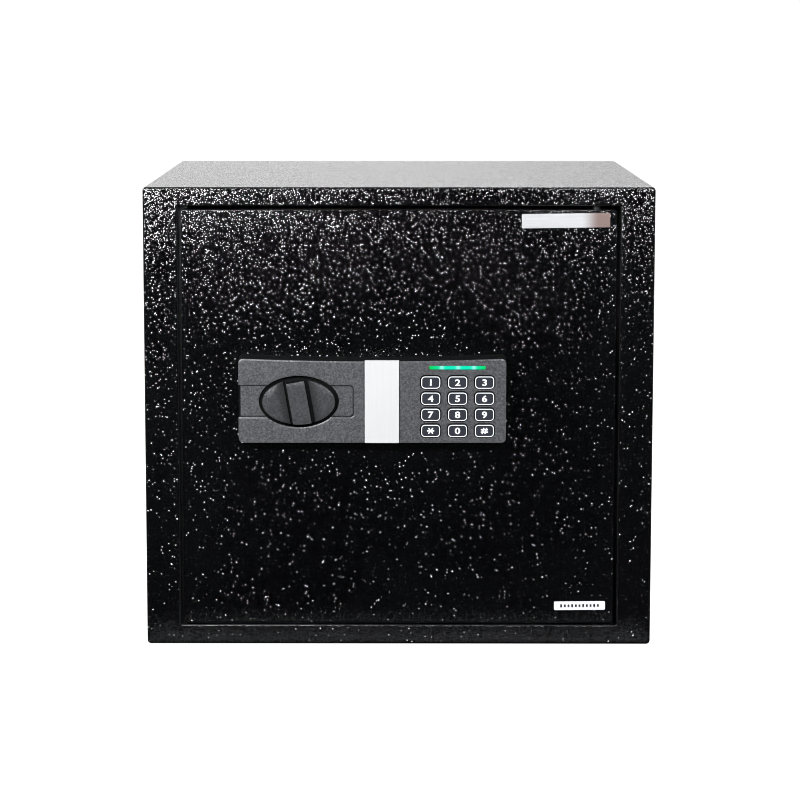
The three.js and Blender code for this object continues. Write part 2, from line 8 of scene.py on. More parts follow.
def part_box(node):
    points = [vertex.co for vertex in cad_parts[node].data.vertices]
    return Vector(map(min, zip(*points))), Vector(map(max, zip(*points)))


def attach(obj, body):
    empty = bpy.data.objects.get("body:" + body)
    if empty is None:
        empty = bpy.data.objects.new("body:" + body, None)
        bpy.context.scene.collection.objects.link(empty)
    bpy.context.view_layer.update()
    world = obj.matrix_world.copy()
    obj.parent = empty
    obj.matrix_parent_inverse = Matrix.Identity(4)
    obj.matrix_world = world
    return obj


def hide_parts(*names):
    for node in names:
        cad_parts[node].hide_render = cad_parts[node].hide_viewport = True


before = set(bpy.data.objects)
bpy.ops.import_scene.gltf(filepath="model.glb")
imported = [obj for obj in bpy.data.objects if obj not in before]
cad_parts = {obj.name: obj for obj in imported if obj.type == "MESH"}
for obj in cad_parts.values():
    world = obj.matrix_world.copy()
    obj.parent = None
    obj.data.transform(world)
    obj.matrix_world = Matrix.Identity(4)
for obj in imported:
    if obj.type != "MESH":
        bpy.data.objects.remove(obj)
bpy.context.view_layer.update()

MM = 0.001

# ---- places, from the frame

def box_of(node):
    """The lowest and highest corners of a CAD node, its middle and its size."""
    low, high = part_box(node)
    return low, high, (low + high) / 2, high - low


def centre_of(node):
    return box_of(node)[2]


shell_low, shell_high, _, shell_size = box_of("cabinet_shell")
door_low, door_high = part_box("door_plate")
panel_low, panel_high, panel_middle, panel_size = box_of("lock_panel")
FRONT = shell_low.y  # the front face of the cabinet's flange
SHEET = 2 * MM
LIP = 2 * MM  # thickness of the door frame's lip


# ---- mesh helpers

def loop(x, z, width, height, radius, y, corner=6, along=1):
    """A rounded rectangle in the plane y, anticlockwise seen from the front, with `along` segments on
    its bottom and top."""
    radius = max(radius, 1e-5)
    points = []
    corners = ((1, -1), (1, 1), (-1, 1), (-1, -1))
    for i, (sx, sz) in enumerate(corners):
        cx, cz = x + sx * (width / 2 - radius), z + sz * (height / 2 - radius)
        start = -math.pi / 2 + i * math.pi / 2
        for k in range(corner + 1):
            angle = start + k / corner * math.pi / 2
            points.append(Vector((cx + radius * math.cos(angle), y, cz + radius * math.sin(angle))))
        if i in (1, 3) and along > 1:
            first = points[-1]
            last_x = x - sx * (width / 2 - radius)
            for k in range(1, along):
                points.append(Vector((first.x + (last_x - first.x) * k / along, y, first.z)))
    return points


def rounded(x, z, width, height, radius):
    """A rounded outline that can grow, as a function of (grow, y)."""
    return lambda grow, y: loop(x, z, width + 2 * grow, height + 2 * grow, radius + grow, y)


def ellipse_loop(x, z, width, height, y, count=96):
    """An ellipse in the plane y."""
    return [
        Vector((x + width / 2 * math.cos(a), y, z + height / 2 * math.sin(a)))
        for a in (2 * math.pi * k / count for k in range(count))
    ]


def rounding(radius, steps):
    """The way round a rounded edge, as (how far in from the side, how far back from the front)."""
    for k in range(steps + 1):
        angle = k / steps * math.pi / 2
        yield radius * (1 - math.cos(angle)), radius * (1 - math.sin(angle))


def smooth(t):
    """Eases from 0 to 1."""
    t = max(0.0, min(1.0, t))
    return t * t * (3 - 2 * t)


def add_object(name, data):
    added = bpy.data.objects.new(name, data)
    bpy.context.scene.collection.objects.link(added)
    return added


def mesh_object(name, work):
    """Turns a bmesh into an object, and frees it."""
    mesh = bpy.data.meshes.new(name)
    work.to_mesh(mesh)
    work.free()
    return add_object(name, mesh)


def make(name, points, faces):
    mesh = bpy.data.meshes.new(name)
    mesh.from_pydata([tuple(p) for p in points], [], faces)
    work = bmesh.new()
    work.from_mesh(mesh)
    bmesh.ops.recalc_face_normals(work, faces=work.faces)
    work.to_mesh(mesh)
    work.free()
    return add_object(name, mesh)


def loft(name, loops, closed=False):
    """Skins a row of loops of equal length. It caps both ends, or joins the last loop to the first."""
    count = len(loops[0])
    points = [p for each in loops for p in each]
    faces = []
    rows = len(loops) if closed else len(loops) - 1
    for row in range(rows):
        a, b = row * count, (row + 1) % len(loops) * count
        faces += [(a + k, a + (k + 1) % count, b + (k + 1) % count, b + k) for k in range(count)]
    if not closed:
        faces.append(tuple(range(count)))
        faces.append(tuple(range((len(loops) - 1) * count, len(loops) * count)))
    return make(name, points, faces)


def grid_faces(rows, columns, start=0):
    """Quads over a grid of points that are stored row by row."""
    step = columns + 1
    corners = [start + j * step + i for j in range(rows) for i in range(columns)]
    return [(a, a + step, a + step + 1, a + 1) for a in corners]


def grid_border(rows, columns):
    """The points all round such a grid."""
    step = columns + 1
    border = list(range(columns)) + [columns + step * j for j in range(rows)]
    border += [columns - i + step * rows for i in range(columns)]
    return border + [step * (rows - j) for j in range(rows)]


def ring_faces(inner, outer):
    """Quads between two closed rows of points."""
    return [(a, inner[k - 1], outer[k - 1], outer[k]) for k, a in enumerate(inner)]


def turned(name, profile, axis, centre, sides=48):
    """A solid of revolution. The profile is (distance along the axis, radius), from end to end."""
    u, v = {"x": ((0, 1, 0), (0, 0, 1)), "y": ((0, 0, 1), (1, 0, 0)), "z": ((1, 0, 0), (0, 1, 0))}[axis]
    u, v = Vector(u), Vector(v)
    along = u.cross(v)
    loops = []
    for distance, radius in profile:
        middle = Vector(centre) + along * distance
        loops.append([
            middle + (u * math.cos(a) + v * math.sin(a)) * max(radius, 1e-5)
            for a in (2 * math.pi * k / sides for k in range(sides))
        ])
    return loft(name, loops)


def bore(axis, centre, low, high, radius, sides=48):
    """A straight rod from low to high along an axis, mostly to cut a hole with."""
    return turned("bore", [(low, radius), (high, radius)], axis, centre, sides)


def box_piece(name, low, high, radius, segments=3):
    """A box between two corners, with rounded edges where the radius isn't 0."""
    work = bmesh.new()
    bmesh.ops.create_cube(work, size=1)
    low, high = Vector(low), Vector(high)
    size = high - low
    for vertex in work.verts:
        vertex.co = Vector(((vertex.co[i] + 0.5) * size[i] + low[i] for i in range(3)))
    if radius:
        bmesh.ops.bevel(
            work, geom=work.edges[:], offset=radius, segments=segments, affect="EDGES", profile=0.5)
    return mesh_object(name, work)


def block(low, high):
    """A sharp box, to cut with."""
    return box_piece("block", low, high, 0)


def apply_modifiers(piece):
    """Gives a piece the mesh that its modifiers make."""
    graph = bpy.context.evaluated_depsgraph_get()
    mesh = bpy.data.meshes.new_from_object(piece.evaluated_get(graph))
    old = piece.data
    piece.modifiers.clear()
    piece.data = mesh
    bpy.data.meshes.remove(old)


def join(name, pieces):
    """One mesh from several, with one material slot for each different material."""
    work = bmesh.new()
    materials = []
    for piece in pieces:
        start = len(work.faces)
        work.from_mesh(piece.data)
        work.faces.ensure_lookup_table()
        for face in work.faces[start:]:
            used = piece.data.materials[face.material_index] if piece.data.materials else None
            if used not in materials:
                materials.append(used)
            face.material_index = materials.index(used)
    for piece in pieces:
        bpy.data.objects.remove(piece)
    joined = mesh_object(name, work)
    for used in materials:
        joined.data.materials.append(used)
    return joined


def combine(piece, operation, *others):
    """Cuts the others from a piece (DIFFERENCE) or adds them to it (UNION), and removes them."""
    for other in others:
        modifier = piece.modifiers.new("combine", "BOOLEAN")
        modifier.operation, modifier.solver, modifier.object = operation, "EXACT", other
    apply_modifiers(piece)
    for other in others:
        bpy.data.objects.remove(other)


def carve(piece, *cutters):
    combine(piece, "DIFFERENCE", *cutters)


def two_materials(piece, base, other, is_other):
    """Gives a piece its base material, and the other where is_other(face) says so."""
    piece.data.materials.clear()
    piece.data.materials.append(base)
    piece.data.materials.append(other)
    for polygon in piece.data.polygons:
        polygon.material_index = int(is_other(polygon))


def shade(piece, angle=35):
    """Smooth faces, with edges sharper than the angle left sharp and wide faces left flat."""
    limit = math.radians(angle)
    work = bmesh.new()
    work.from_mesh(piece.data)
    for face in work.faces:
        face.smooth = True
    for edge in work.edges:
        edge.smooth = len(edge.link_faces) == 2 and edge.calc_face_angle(0) < limit
    work.to_mesh(piece.data)
    work.free()
    weighting = piece.modifiers.new("flat_faces", "WEIGHTED_NORMAL")
    weighting.keep_sharp = True
    weighting.weight = 100


def finish_piece(piece, body, material, slot, *nodes, angle=35):
    """Shades a piece, gives it its material and body, and lets it stand for CAD nodes."""
    if material is not None:
        piece.data.materials.clear()
        piece.data.materials.append(material)
    shade(piece, angle)
    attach(piece, body)
    if nodes:
        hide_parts(*nodes)


def bevelled_loops(x, z, width, height, radius, back, front, fillet, steps):
    """Loops of a plate's outside, from its back to a rounded front edge. Y grows towards the back."""
    outline = rounded(x, z, width, height, radius)
    return [outline(0, back)] + [outline(-inset, front + fall) for inset, fall in rounding(fillet, steps)]


# ---- materials

COAT_GRAIN = 1550  # facets to a metre
COAT_LEAN = 0.38  # twice the steepest slope of most facets
COAT_STEEP = 1.6  # twice the steepest slope of the few steep ones
STEEP_SHARE = 40.0  # the higher this power, the fewer facets are steep
PANEL_GRAIN = 1000  # facets to a metre
PANEL_LEAN = 0.16  # twice the steepest slope of those facets
GRIP_HALF = 7.1 * MM  # half the width of the bar across the dial
GRIP_TILT = math.radians(10)  # how far that bar leans


class Nodes:
    """Short calls for the nodes of a material or of the world."""

    def __init__(self, tree, coordinates):
        self.tree = tree
        self.place = self.add("ShaderNodeTexCoord").outputs[coordinates]

    def add(self, kind, inputs=None, **settings):
        node = self.tree.nodes.new(kind)
        for key, value in settings.items():
            setattr(node, key, value)
        for key, value in (inputs or {}).items():
            self.feed(node.inputs[key], value)
        return node

    def feed(self, socket, value):
        if isinstance(value, bpy.types.NodeSocket):
            self.tree.links.new(value, socket)
        else:
            socket.default_value = value

    def stretched(self, x, y, z):
        inputs = {"Vector": self.place, "Scale": (x, y, z)}
        return self.add("ShaderNodeMapping", inputs).outputs["Vector"]

    def noise(self, scale, detail=2.0, roughness=0.5, vector=None, distortion=0.0):
        return self.add("ShaderNodeTexNoise", {
            "Vector": vector or self.place, "Scale": scale, "Detail": detail,
            "Roughness": roughness, "Distortion": distortion,
        }).outputs["Fac"]

    def math(self, operation, a, b=0.0):
        node = self.add("ShaderNodeMath", operation=operation)
        self.feed(node.inputs[0], a)
        self.feed(node.inputs[1], b)
        return node.outputs[0]

    def times(self, a, b):
        return self.math("MULTIPLY", a, b)

    def minus(self, a, b):
        return self.math("SUBTRACT", a, b)

    def vector(self, operation, *values):
        node = self.add("ShaderNodeVectorMath", operation=operation)
        for socket, value in zip(node.inputs, values):
            self.feed(socket, value)
        return node.outputs[0]

    def remap(self, value, low, high, to_low=0.0, to_high=1.0, smooth=False):
        return self.add("ShaderNodeMapRange", {
            "Value": value, "From Min": low, "From Max": high, "To Min": to_low, "To Max": to_high,
        }, interpolation_type="SMOOTHSTEP" if smooth else "LINEAR").outputs["Result"]

    def mix(self, share, a, b):
        node = self.add("ShaderNodeMix", data_type="RGBA")
        self.feed(node.inputs[0], share)
        self.feed(node.inputs[6], (*a, 1) if isinstance(a, tuple) else a)
        self.feed(node.inputs[7], (*b, 1) if isinstance(b, tuple) else b)
        return node.outputs[2]

    def axis(self, name):
        return self.add("ShaderNodeSeparateXYZ", {"Vector": self.place}).outputs[name]

    def bump(self, height, distance):
        inputs = {"Height": height, "Distance": distance, "Strength": 1.0}
        return self.add("ShaderNodeBump", inputs).outputs["Normal"]

    def facets(self, grain):
        """Small cells: the three channels of each one's random colour, and that colour as a vector."""
        cell = self.add("ShaderNodeTexVoronoi", {"Vector": self.place, "Scale": grain}).outputs["Color"]
        channels = self.add("ShaderNodeSeparateColor", {"Color": cell}).outputs
        return channels, self.vector("SUBTRACT", cell, (0.5, 0.5, 0.5))

    def leaning(self, normal, aside, lean):
        """A normal that leans aside, by lean times the vector."""
        aside = self.add("ShaderNodeVectorMath", {0: aside, "Scale": lean}, operation="SCALE").outputs[0]
        return self.vector("NORMALIZE", self.vector("ADD", normal, aside))


class Shader(Nodes):
    """A material with one Principled shader."""

    def __init__(self, name):
        self.material = bpy.data.materials.new(name)
        self.material.use_nodes = True
        self.material.node_tree.nodes.clear()
        super().__init__(self.material.node_tree, "Object")
        self.principled = self.add("ShaderNodeBsdfPrincipled")
        self.add("ShaderNodeOutputMaterial", {"Surface": self.principled.outputs[0]})

    def set(self, **values):
        for key, value in values.items():
            self.feed(self.principled.inputs[key.replace("_", " ")], value)


def powder_coat():
    """Black powder coat. Its grains are glossy facets, about 0.65 mm across, that lean in every
    direction, a few of them steeply."""
    s = Shader("black_powder_coat")
    channels, aside = s.facets(COAT_GRAIN)
    steep = s.math("POWER", channels["Blue"], STEEP_SHARE)
    upright = s.add("ShaderNodeNewGeometry").outputs["Normal"]
    s.set(
        Base_Color=s.mix(s.noise(9, detail=3.0), (0.0012, 0.0012, 0.0015), (0.0025, 0.0025, 0.003)),
        Roughness=s.remap(channels["Green"], 0, 1, 0.06, 0.11),
        Specular_IOR_Level=1.0,
        Normal=s.leaning(upright, aside, s.remap(steep, 0, 1, COAT_LEAN, COAT_STEEP)),
    )
    return s.material


def moulded_plastic(name, dark, light, roughness, grain=2400, specular=0.4):
    s = Shader(name)
    speck = s.noise(grain, detail=2)
    s.set(
        Base_Color=s.mix(s.remap(speck, 0.3, 0.7), dark, light),
        Roughness=s.remap(s.noise(160, detail=2), 0.3, 0.7, roughness - 0.06, roughness + 0.06),
        Specular_IOR_Level=specular,
        Normal=s.bump(speck, 0.02 * MM),
    )
    return s.material


def grained_plastic(name, dark, light, roughness):
    """Moulded plastic with a fine leathery grain of small facets. Returns its shader."""
    s = Shader(name)
    channels, aside = s.facets(PANEL_GRAIN)
    soft = s.bump(s.noise(300, detail=2), 0.02 * MM)
    s.set(
        Base_Color=s.mix(channels["Red"], dark, light),
        Roughness=s.remap(s.noise(60), 0.3, 0.7, roughness - 0.02, roughness + 0.02),
        Specular_IOR_Level=0.5,
        Normal=s.leaning(soft, aside, PANEL_LEAN),
    )
    return s


def brushed_metal(name, dark, light, roughness, stretch, metallic=1.0, depth=0.004 * MM):
    """Metal with fine lines. The stretch is coarse along the lines and fine across them."""
    s = Shader(name)
    lines = s.noise(1, detail=3, roughness=0.6, vector=s.stretched(*stretch))
    cloud = s.noise(35, detail=2)
    s.set(
        Base_Color=s.mix(s.remap(lines, 0.3, 0.7), dark, light),
        Metallic=metallic,
        Roughness=s.remap(cloud, 0.3, 0.7, roughness - 0.05, roughness + 0.05),
        Normal=s.bump(lines, depth),
    )
    return s.material


def dial_plastic():
    """The dial's plastic, with painted shade: it darkens towards the grooves in the hollows on both sides
    of its bar.
    """
    s = grained_plastic("dial_plastic", (0.03, 0.0305, 0.033), (0.06, 0.0605, 0.065), 0.34)
    middle = centre_of("knob_dial")
    across = s.times(s.minus(s.axis("X"), middle.x), math.cos(GRIP_TILT))
    up = s.times(s.minus(s.axis("Z"), middle.z), math.sin(GRIP_TILT))
    away = s.math("ABSOLUTE", s.math("ADD", across, up))
    # Painted shade: the plastic fades to near-black close to the grooves, but not on the bar.
    painted_shade_ramp = s.remap(away, GRIP_HALF + 12 * MM, GRIP_HALF + 2 * MM, 0.0, 0.75, smooth=True)
    on_bar = s.math("LESS_THAN", away, GRIP_HALF + 0.1 * MM)
    painted_shade_amount = s.times(painted_shade_ramp, s.minus(1.0, on_bar))
    grain = s.principled.inputs["Base Color"].links[0].from_socket
    s.set(Base_Color=s.mix(painted_shade_amount, grain, (0.008, 0.008, 0.009)))
    return s.material


def felt():
    s = Shader("grey_felt")
    fibres = s.noise(1400, detail=4, roughness=0.7, distortion=1.2)
    cloud = s.noise(40, detail=3)
    s.set(
        Base_Color=s.mix(s.times(fibres, cloud), (0.02, 0.02, 0.023), (0.14, 0.14, 0.15)),
        Roughness=0.95, Sheen_Weight=0.3, Sheen_Roughness=0.6,
        Normal=s.bump(fibres, 0.4 * MM),
    )
    return s.material


def matt_surface(name, dark, light, roughness, cloud, detail, grain):
    s = Shader(name)
    s.set(
        Base_Color=s.mix(s.noise(cloud, detail=detail), dark, light),
        Roughness=roughness,
        Normal=s.bump(s.noise(grain), 0.01 * MM),
    )
    return s.material


def light_guide(low, high):
    """Lit green plastic with a brighter spot over each of three diodes."""
    s = Shader("green_light_guide")
    across = s.remap(s.axis("X"), low.x, high.x)
    glow = 0.0
    for diode in (0.22, 0.51, 0.79):  # places along the bar, as shares of its length
        away = s.math("ABSOLUTE", s.minus(across, diode))
        near = s.remap(away, 0.075, 0.0, smooth=True)
        glow = s.math("MAXIMUM", near, glow)
    ends = s.remap(s.math("ABSOLUTE", s.minus(across, 0.52)), 0.24, 0.5)
    body = s.mix(ends, (0.0, 0.84, 0.52), (0.0, 0.62, 0.09))
    colour = s.mix(s.math("POWER", glow, 1.5), body, (0.3, 1.0, 0.85))
    s.set(
        Base_Color=(0.0, 0.03, 0.012, 1), Roughness=0.4, Specular_IOR_Level=0.15,
        Emission_Color=colour, Emission_Strength=1.0,
        Normal=s.bump(s.noise(1500), 0.01 * MM),
    )
    return s.material


def nameplate_metal(low, high):
    """Brushed silver with a painted reflection: it turns to a warmer grey at its right end."""
    s = Shader("nameplate_metal")
    lines = s.noise(1, detail=3, vector=s.stretched(60, 60, 2600))
    width = high.x - low.x
    painted_reflection = s.remap(s.axis("X"), low.x + 0.66 * width, low.x + 0.88 * width, smooth=True)
    bright = s.mix(lines, (0.52, 0.52, 0.53), (0.68, 0.68, 0.69))
    s.set(
        Base_Color=s.mix(painted_reflection, bright, (0.235, 0.165, 0.15)),
        Metallic=0.4, Roughness=0.4, Normal=s.bump(lines, 0.006 * MM),
    )
    return s.material


def circuit_board():
    s = Shader("circuit_board")
    inputs = {"Vector": s.place, "Scale": 160.0, "Mortar Size": 0.03}
    tracks = s.add("ShaderNodeTexBrick", inputs).outputs["Fac"]
    s.set(
        Base_Color=s.mix(tracks, (0.012, 0.085, 0.04), (0.03, 0.16, 0.08)),
        Roughness=0.4, Normal=s.bump(s.noise(900), 0.02 * MM),
    )
    return s.material


def winding():
    s = Shader("copper_winding")
    turns = s.noise(1, detail=1, vector=s.stretched(40, 40, 4200))
    s.set(
        Base_Color=s.mix(turns, (0.24, 0.07, 0.025), (0.6, 0.24, 0.1)),
        Metallic=0.7, Roughness=0.35, Normal=s.bump(turns, 0.08 * MM),
    )
    return s.material


COAT = powder_coat()
INNER_COAT = grained_plastic(
    "inner_coat", (0.012, 0.012, 0.013), (0.026, 0.026, 0.028), 0.42).material
PANEL = grained_plastic(
    "panel_plastic", (0.043, 0.0435, 0.047), (0.104, 0.1045, 0.111), 0.3).material
DIAL = dial_plastic()
# A flat black that stands in for shade: painted shade on the panel's walls and deep faces, the well's
# floor, the keys' feet and the dial's grooves.
PAINTED_SHADE_BLACK = moulded_plastic(
    "painted_shade_black", (0.003, 0.003, 0.0032), (0.007, 0.007, 0.0075), 0.7, specular=0.12)
BLACK_PLASTIC = moulded_plastic("black_plastic", (0.012, 0.012, 0.013), (0.022, 0.022, 0.024), 0.42)
RUBBER = moulded_plastic("key_rubber", (0.012, 0.014, 0.022), (0.022, 0.025, 0.036), 0.55, 1800)
RED = moulded_plastic("red_plastic", (0.42, 0.012, 0.01), (0.55, 0.02, 0.016), 0.3)
WRAP = moulded_plastic("battery_wrap", (0.02, 0.024, 0.03), (0.035, 0.04, 0.05), 0.3)
WHITE = matt_surface("white_print", (0.82, 0.84, 0.88), (0.95, 0.96, 0.98), 0.5, 900, 2, 3000)
PAPER = matt_surface("label_paper", (0.78, 0.81, 0.88), (0.88, 0.9, 0.95), 0.6, 500, 4, 2500)
ZINC = brushed_metal(
    "zinc_plate", (0.5, 0.52, 0.54), (0.68, 0.69, 0.7), 0.34, (400, 400, 400), depth=0.01 * MM)
STEEL = brushed_metal("bright_steel", (0.6, 0.61, 0.62), (0.78, 0.79, 0.8), 0.2, (2600, 60, 60))
DARK_STEEL = brushed_metal(
    "dark_steel", (0.03, 0.03, 0.032), (0.06, 0.06, 0.063), 0.4, (60, 60, 2600), 0.6)
BRASS = brushed_metal("brass", (0.55, 0.38, 0.15), (0.78, 0.58, 0.28), 0.26, (60, 900, 60))
STRIP = brushed_metal(
    "satin_silver", (0.545, 0.545, 0.55), (0.58, 0.58, 0.585), 0.5, (1800, 60, 40), 0.05)
FELT = felt()
LIGHT = light_guide(*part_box("status_light"))
NAMEPLATE = nameplate_metal(*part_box("nameplate"))
CIRCUIT = circuit_board()
WINDING = winding()

NODE_MATERIALS = {
    INNER_COAT: ["door_frame", "shelf", "shelf_rail_left", "shelf_rail_right"],
    ZINC: [
        "upper_hinge_block", "lower_hinge_block", "bolt_guide", "bolt_plate", "upper_bolt_screw",
        "lower_bolt_screw", "solenoid_frame", "override_lock_body", "override_cam", "knob_spindle",
        "knob_crank",
    ],
    DARK_STEEL: ["upper_hinge_pin", "lower_hinge_pin"],
    STEEL: ["solenoid_plunger", "plunger_spring"],
    BLACK_PLASTIC: ["battery_tray"],
    BRASS: ["override_plug", "spindle_bush"],
    CIRCUIT: ["keypad_board", "control_board"],
    WINDING: ["solenoid_coil"],
    WRAP: ["battery_1", "battery_2", "battery_3", "battery_4"],
}
for material, names in NODE_MATERIALS.items():
    for name in names:
        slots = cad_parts[name].data.materials
        slots.clear()
        slots.append(material)


# ---- cabinet

CORNER = 3 * MM  # radius of the cabinet's long edges
FOLD = 2 * MM  # radius where the sides fold into the flange
OPENING_EDGE = 1.2 * MM  # radius of the flange's edge round the door
OPENING_CORNER = 1.5 * MM
REAR_EDGE = 1 * MM
SILL_RISE = 1.8 * MM  # how far the flange's lower edge stands above the door frame's lip
HEAD_FALL = 1.0 * MM  # how far its upper edge hangs below that lip
ANCHOR_X = 75 * MM  # anchor holes, on both sides of the middle
ANCHOR_Y = 20 * MM  # in the floor
ANCHOR_Z = 262 * MM  # in the rear panel
ANCHOR_HOLE = 12 * MM
MAT_HOLE = 16 * MM
THROUGH = 5 * MM  # how far most cutters reach past what they cut


def anchor_cutters(axis, place, low, high, diameter=ANCHOR_HOLE):
    """Two cutters side by side. Place is their y in a floor, and their z in a rear panel."""
    cutters = []
    for x in (-ANCHOR_X, ANCHOR_X):
        centre = (x, place, 0) if axis == "z" else (x, 0, place)
        cutters.append(bore(axis, centre, low, high, diameter / 2, 40))
    return cutters


def make_cabinet():
    frame_low, rear_low, rear_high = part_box("door_frame")[0], *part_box("rear_panel")
    width, height = shell_size.x, shell_size.z
    middle = height / 2
    side = -shell_low.x + frame_low.x + LIP  # width of the flange at the sides
    end = frame_low.z + LIP
    back = shell_high.y
    outline = rounded(0, middle, width, height, CORNER)

    def opening(grow, depth):
        return loop(
            0, middle + (SILL_RISE - HEAD_FALL) / 2, width - 2 * side + 2 * grow,
            height - 2 * end - SILL_RISE - HEAD_FALL + 2 * grow, OPENING_CORNER, FRONT + depth)

    loops = [outline(0, back)]
    loops += [outline(-inset, FRONT + fall) for inset, fall in rounding(FOLD, 5)]
    loops += [opening(grow, depth) for depth, grow in rounding(OPENING_EDGE, 3)]
    loops += [opening(0, SHEET), outline(-SHEET, FRONT + SHEET), outline(-SHEET, back)]
    skin = loft("cabinet_skin", loops, closed=True)
    carve(skin, *anchor_cutters("z", ANCHOR_Y, -THROUGH, 6 * MM))

    def is_inside(face):
        x, y, z = face.center
        within = abs(x) < width / 2 - SHEET / 2 and SHEET / 2 < z < height - SHEET / 2
        return within and y > FRONT + 0.6 * SHEET

    two_materials(skin, COAT, INNER_COAT, is_inside)
    finish_piece(skin, "cabinet", None, "black_coat", "cabinet_shell")

    loops = [outline(-inset, rear_high.y - fall) for inset, fall in rounding(REAR_EDGE, 3)]
    rear = loft("rear_skin", [outline(0, rear_low.y), *loops])
    reach = (rear_low.y - THROUGH, rear_high.y + THROUGH)
    carve(rear, *anchor_cutters("y", ANCHOR_Z, *reach))
    finish_piece(rear, "cabinet", COAT, "black_coat", "rear_panel")


def make_mat():
    """A felt mat that swells a little here and there, with its edges pressed down."""
    low, high, _, size = box_of("floor_mat")
    rows, columns = 46, 54
    swell, pressed, clearance = 0.25 * MM, 0.5 * MM, 0.3 * MM
    points = []
    for layer in (0, 1):
        for j in range(rows + 1):
            for i in range(columns + 1):
                x = low.x + size.x * i / columns
                y = low.y + size.y * j / rows
                wave = swell * math.sin(9 * i / columns + 4 * math.sin(5 * j / rows))
                at_edge = min(i, j, columns - i, rows - j) == 0
                upper = high.z - clearance + wave - (pressed if at_edge else 0)
                points.append((x, y, upper if layer else low.z))
    layer_size = len(points) // 2
    border = grid_border(rows, columns)
    faces = grid_faces(rows, columns) + grid_faces(rows, columns, layer_size)
    faces += ring_faces(border, [a + layer_size for a in border])
    mat = make("felt_mat", points, faces)
    carve(mat, *anchor_cutters("z", ANCHOR_Y, 0, 12 * MM, MAT_HOLE))
    finish_piece(mat, "cabinet", FELT, "grey_felt", "floor_mat")


# ---- door

DOOR_FALLS = (0.6 * MM, 1.5 * MM)  # how far its foot and its head end below the node's
DOOR_SHEET = 4 * MM
DOOR_FOLD = 2 * MM  # thickness of its folded edges
DOOR_CORNER = 2.6 * MM
DOOR_HOLES = (("knob_spindle", 13.6 * MM), ("override_lock_body", 18.6 * MM), ("key_5", 16 * MM))
HINGE_HOLE = 3.3 * MM  # radius


def make_door():
    foot, head = door_low.z - DOOR_FALLS[0], door_high.z - DOOR_FALLS[1]
    width, height = door_high.x - door_low.x, head - foot
    middle = (foot + head) / 2
    front, back = door_low.y, door_high.y
    inner_face = front + DOOR_SHEET

    def ring(inset, y, corner):
        return loop(0, middle, width - 2 * inset, height - 2 * inset, corner, y)

    loops = [ring(DOOR_FOLD, inner_face, 0.6 * MM), ring(DOOR_FOLD, back, 0.6 * MM)]
    loops += bevelled_loops(0, middle, width, height, DOOR_CORNER, back, front, 0.8 * MM, 4)
    slab = loft("door_skin", loops)
    cutters = []
    height_of_holes = centre_of("knob_spindle").z
    for node, diameter in DOOR_HOLES:
        place = (centre_of(node).x, 0, height_of_holes)
        ends = (front - THROUGH, inner_face + THROUGH)
        cutters.append(bore("y", place, *ends, diameter / 2))
    hinge = centre_of("upper_hinge_pin")
    for z in (door_low.z, door_high.z):
        ends = (z - 2 * THROUGH, z + 2 * THROUGH)
        cutters.append(bore("z", (hinge.x, hinge.y, 0), *ends, HINGE_HOLE))
    carve(slab, *cutters)
    finish_piece(slab, "door", COAT, "black_coat", "door_plate")


def turn_about(piece, middle, tilt):
    turn = Matrix.Rotation(-tilt, 4, "Y")
    piece.data.transform(Matrix.Translation(middle) @ turn @ Matrix.Translation(-middle))


def tilted_plate(name, node, tilt, fillet, radius):
    """A thin plate on the door's face, turned about its own middle. Returns its width and height too."""
    low, high, middle, size = box_of(node)
    width = size.x - size.z * math.sin(tilt)
    height = size.z - size.x * math.sin(tilt)
    loops = bevelled_loops(middle.x, middle.z, width, height, radius, high.y, low.y, fillet, 3)
    piece = loft(name, loops)
    turn_about(piece, middle, tilt)
    return piece, width, height


def make_nameplate():
    plate = tilted_plate("name_plate", "nameplate", math.radians(0.7), 0.3 * MM, 0.8 * MM)[0]
    finish_piece(plate, "door", NAMEPLATE, "nameplate_metal", "nameplate")


BARS = 11  # on the serial label, in place of its number
BAR_WIDTH = 1.5 * MM
BAR_SPAN = 0.72  # as a share of the label's width
BAR_TALL, BAR_SHORT = 0.36, 0.3  # as shares of its height


def make_label():
    tilt = math.radians(0.6)
    label, width, height = tilted_plate("label", "serial_label", tilt, 0.1 * MM, 1 * MM)
    finish_piece(label, "door", PAPER, "label_paper", "serial_label")
    low, _, middle, _ = box_of("serial_label")
    bars = []
    for k in range(BARS):
        x = middle.x + width * BAR_SPAN * (k / (BARS - 1) - 0.5)
        tall = height * (BAR_SHORT if k % 3 else BAR_TALL)
        corners = ((x - BAR_WIDTH / 2, low.y - 0.05 * MM, middle.z - tall / 2),
                   (x + BAR_WIDTH / 2, low.y + 0.1 * MM, middle.z + tall / 2))
        bars.append(box_piece(f"bar_{k}", *corners, 0.02 * MM, 1))
    row = join("label_bars", bars)
    turn_about(row, middle, tilt)
    finish_piece(row, "door", BLACK_PLASTIC, "label_paper")


# ---- lock panel

PANEL_CORNER = 4 * MM
PANEL_EDGE = (  # inset and depth of its bevelled edge
    (0.0, 0.6 * MM), (0.2 * MM, 0.32 * MM), (1.2 * MM, 0.0))
PANEL_WALL = 2.5 * MM
TOP_DIP = 2.2 * MM  # how far the panel's top edge sags at its middle
DRAFT = 0.4 * MM  # how much wider the panel is at the door than at its face
TOP_DRAFT = 1.6 * MM  # how much higher its top side is at the door
STRIP_GAP = 0.7 * MM  # on each side of the cover over the emergency lock
STRIP_FALL = 1.3 * MM  # how far that cover ends below its node's top
STRIP_BED = 1.7 * MM  # depth of the panel's face behind it
FLARE = 0.36  # depth of a hole's chamfer, as a share of its width
WELL = (62.8 * MM, 40.8 * MM)
WELL_DEPTH = 5 * MM
CHANNEL_RIGHT, CHANNEL_LOW, CHANNEL_HIGH = -35.1 * MM, 184 * MM, 209.4 * MM
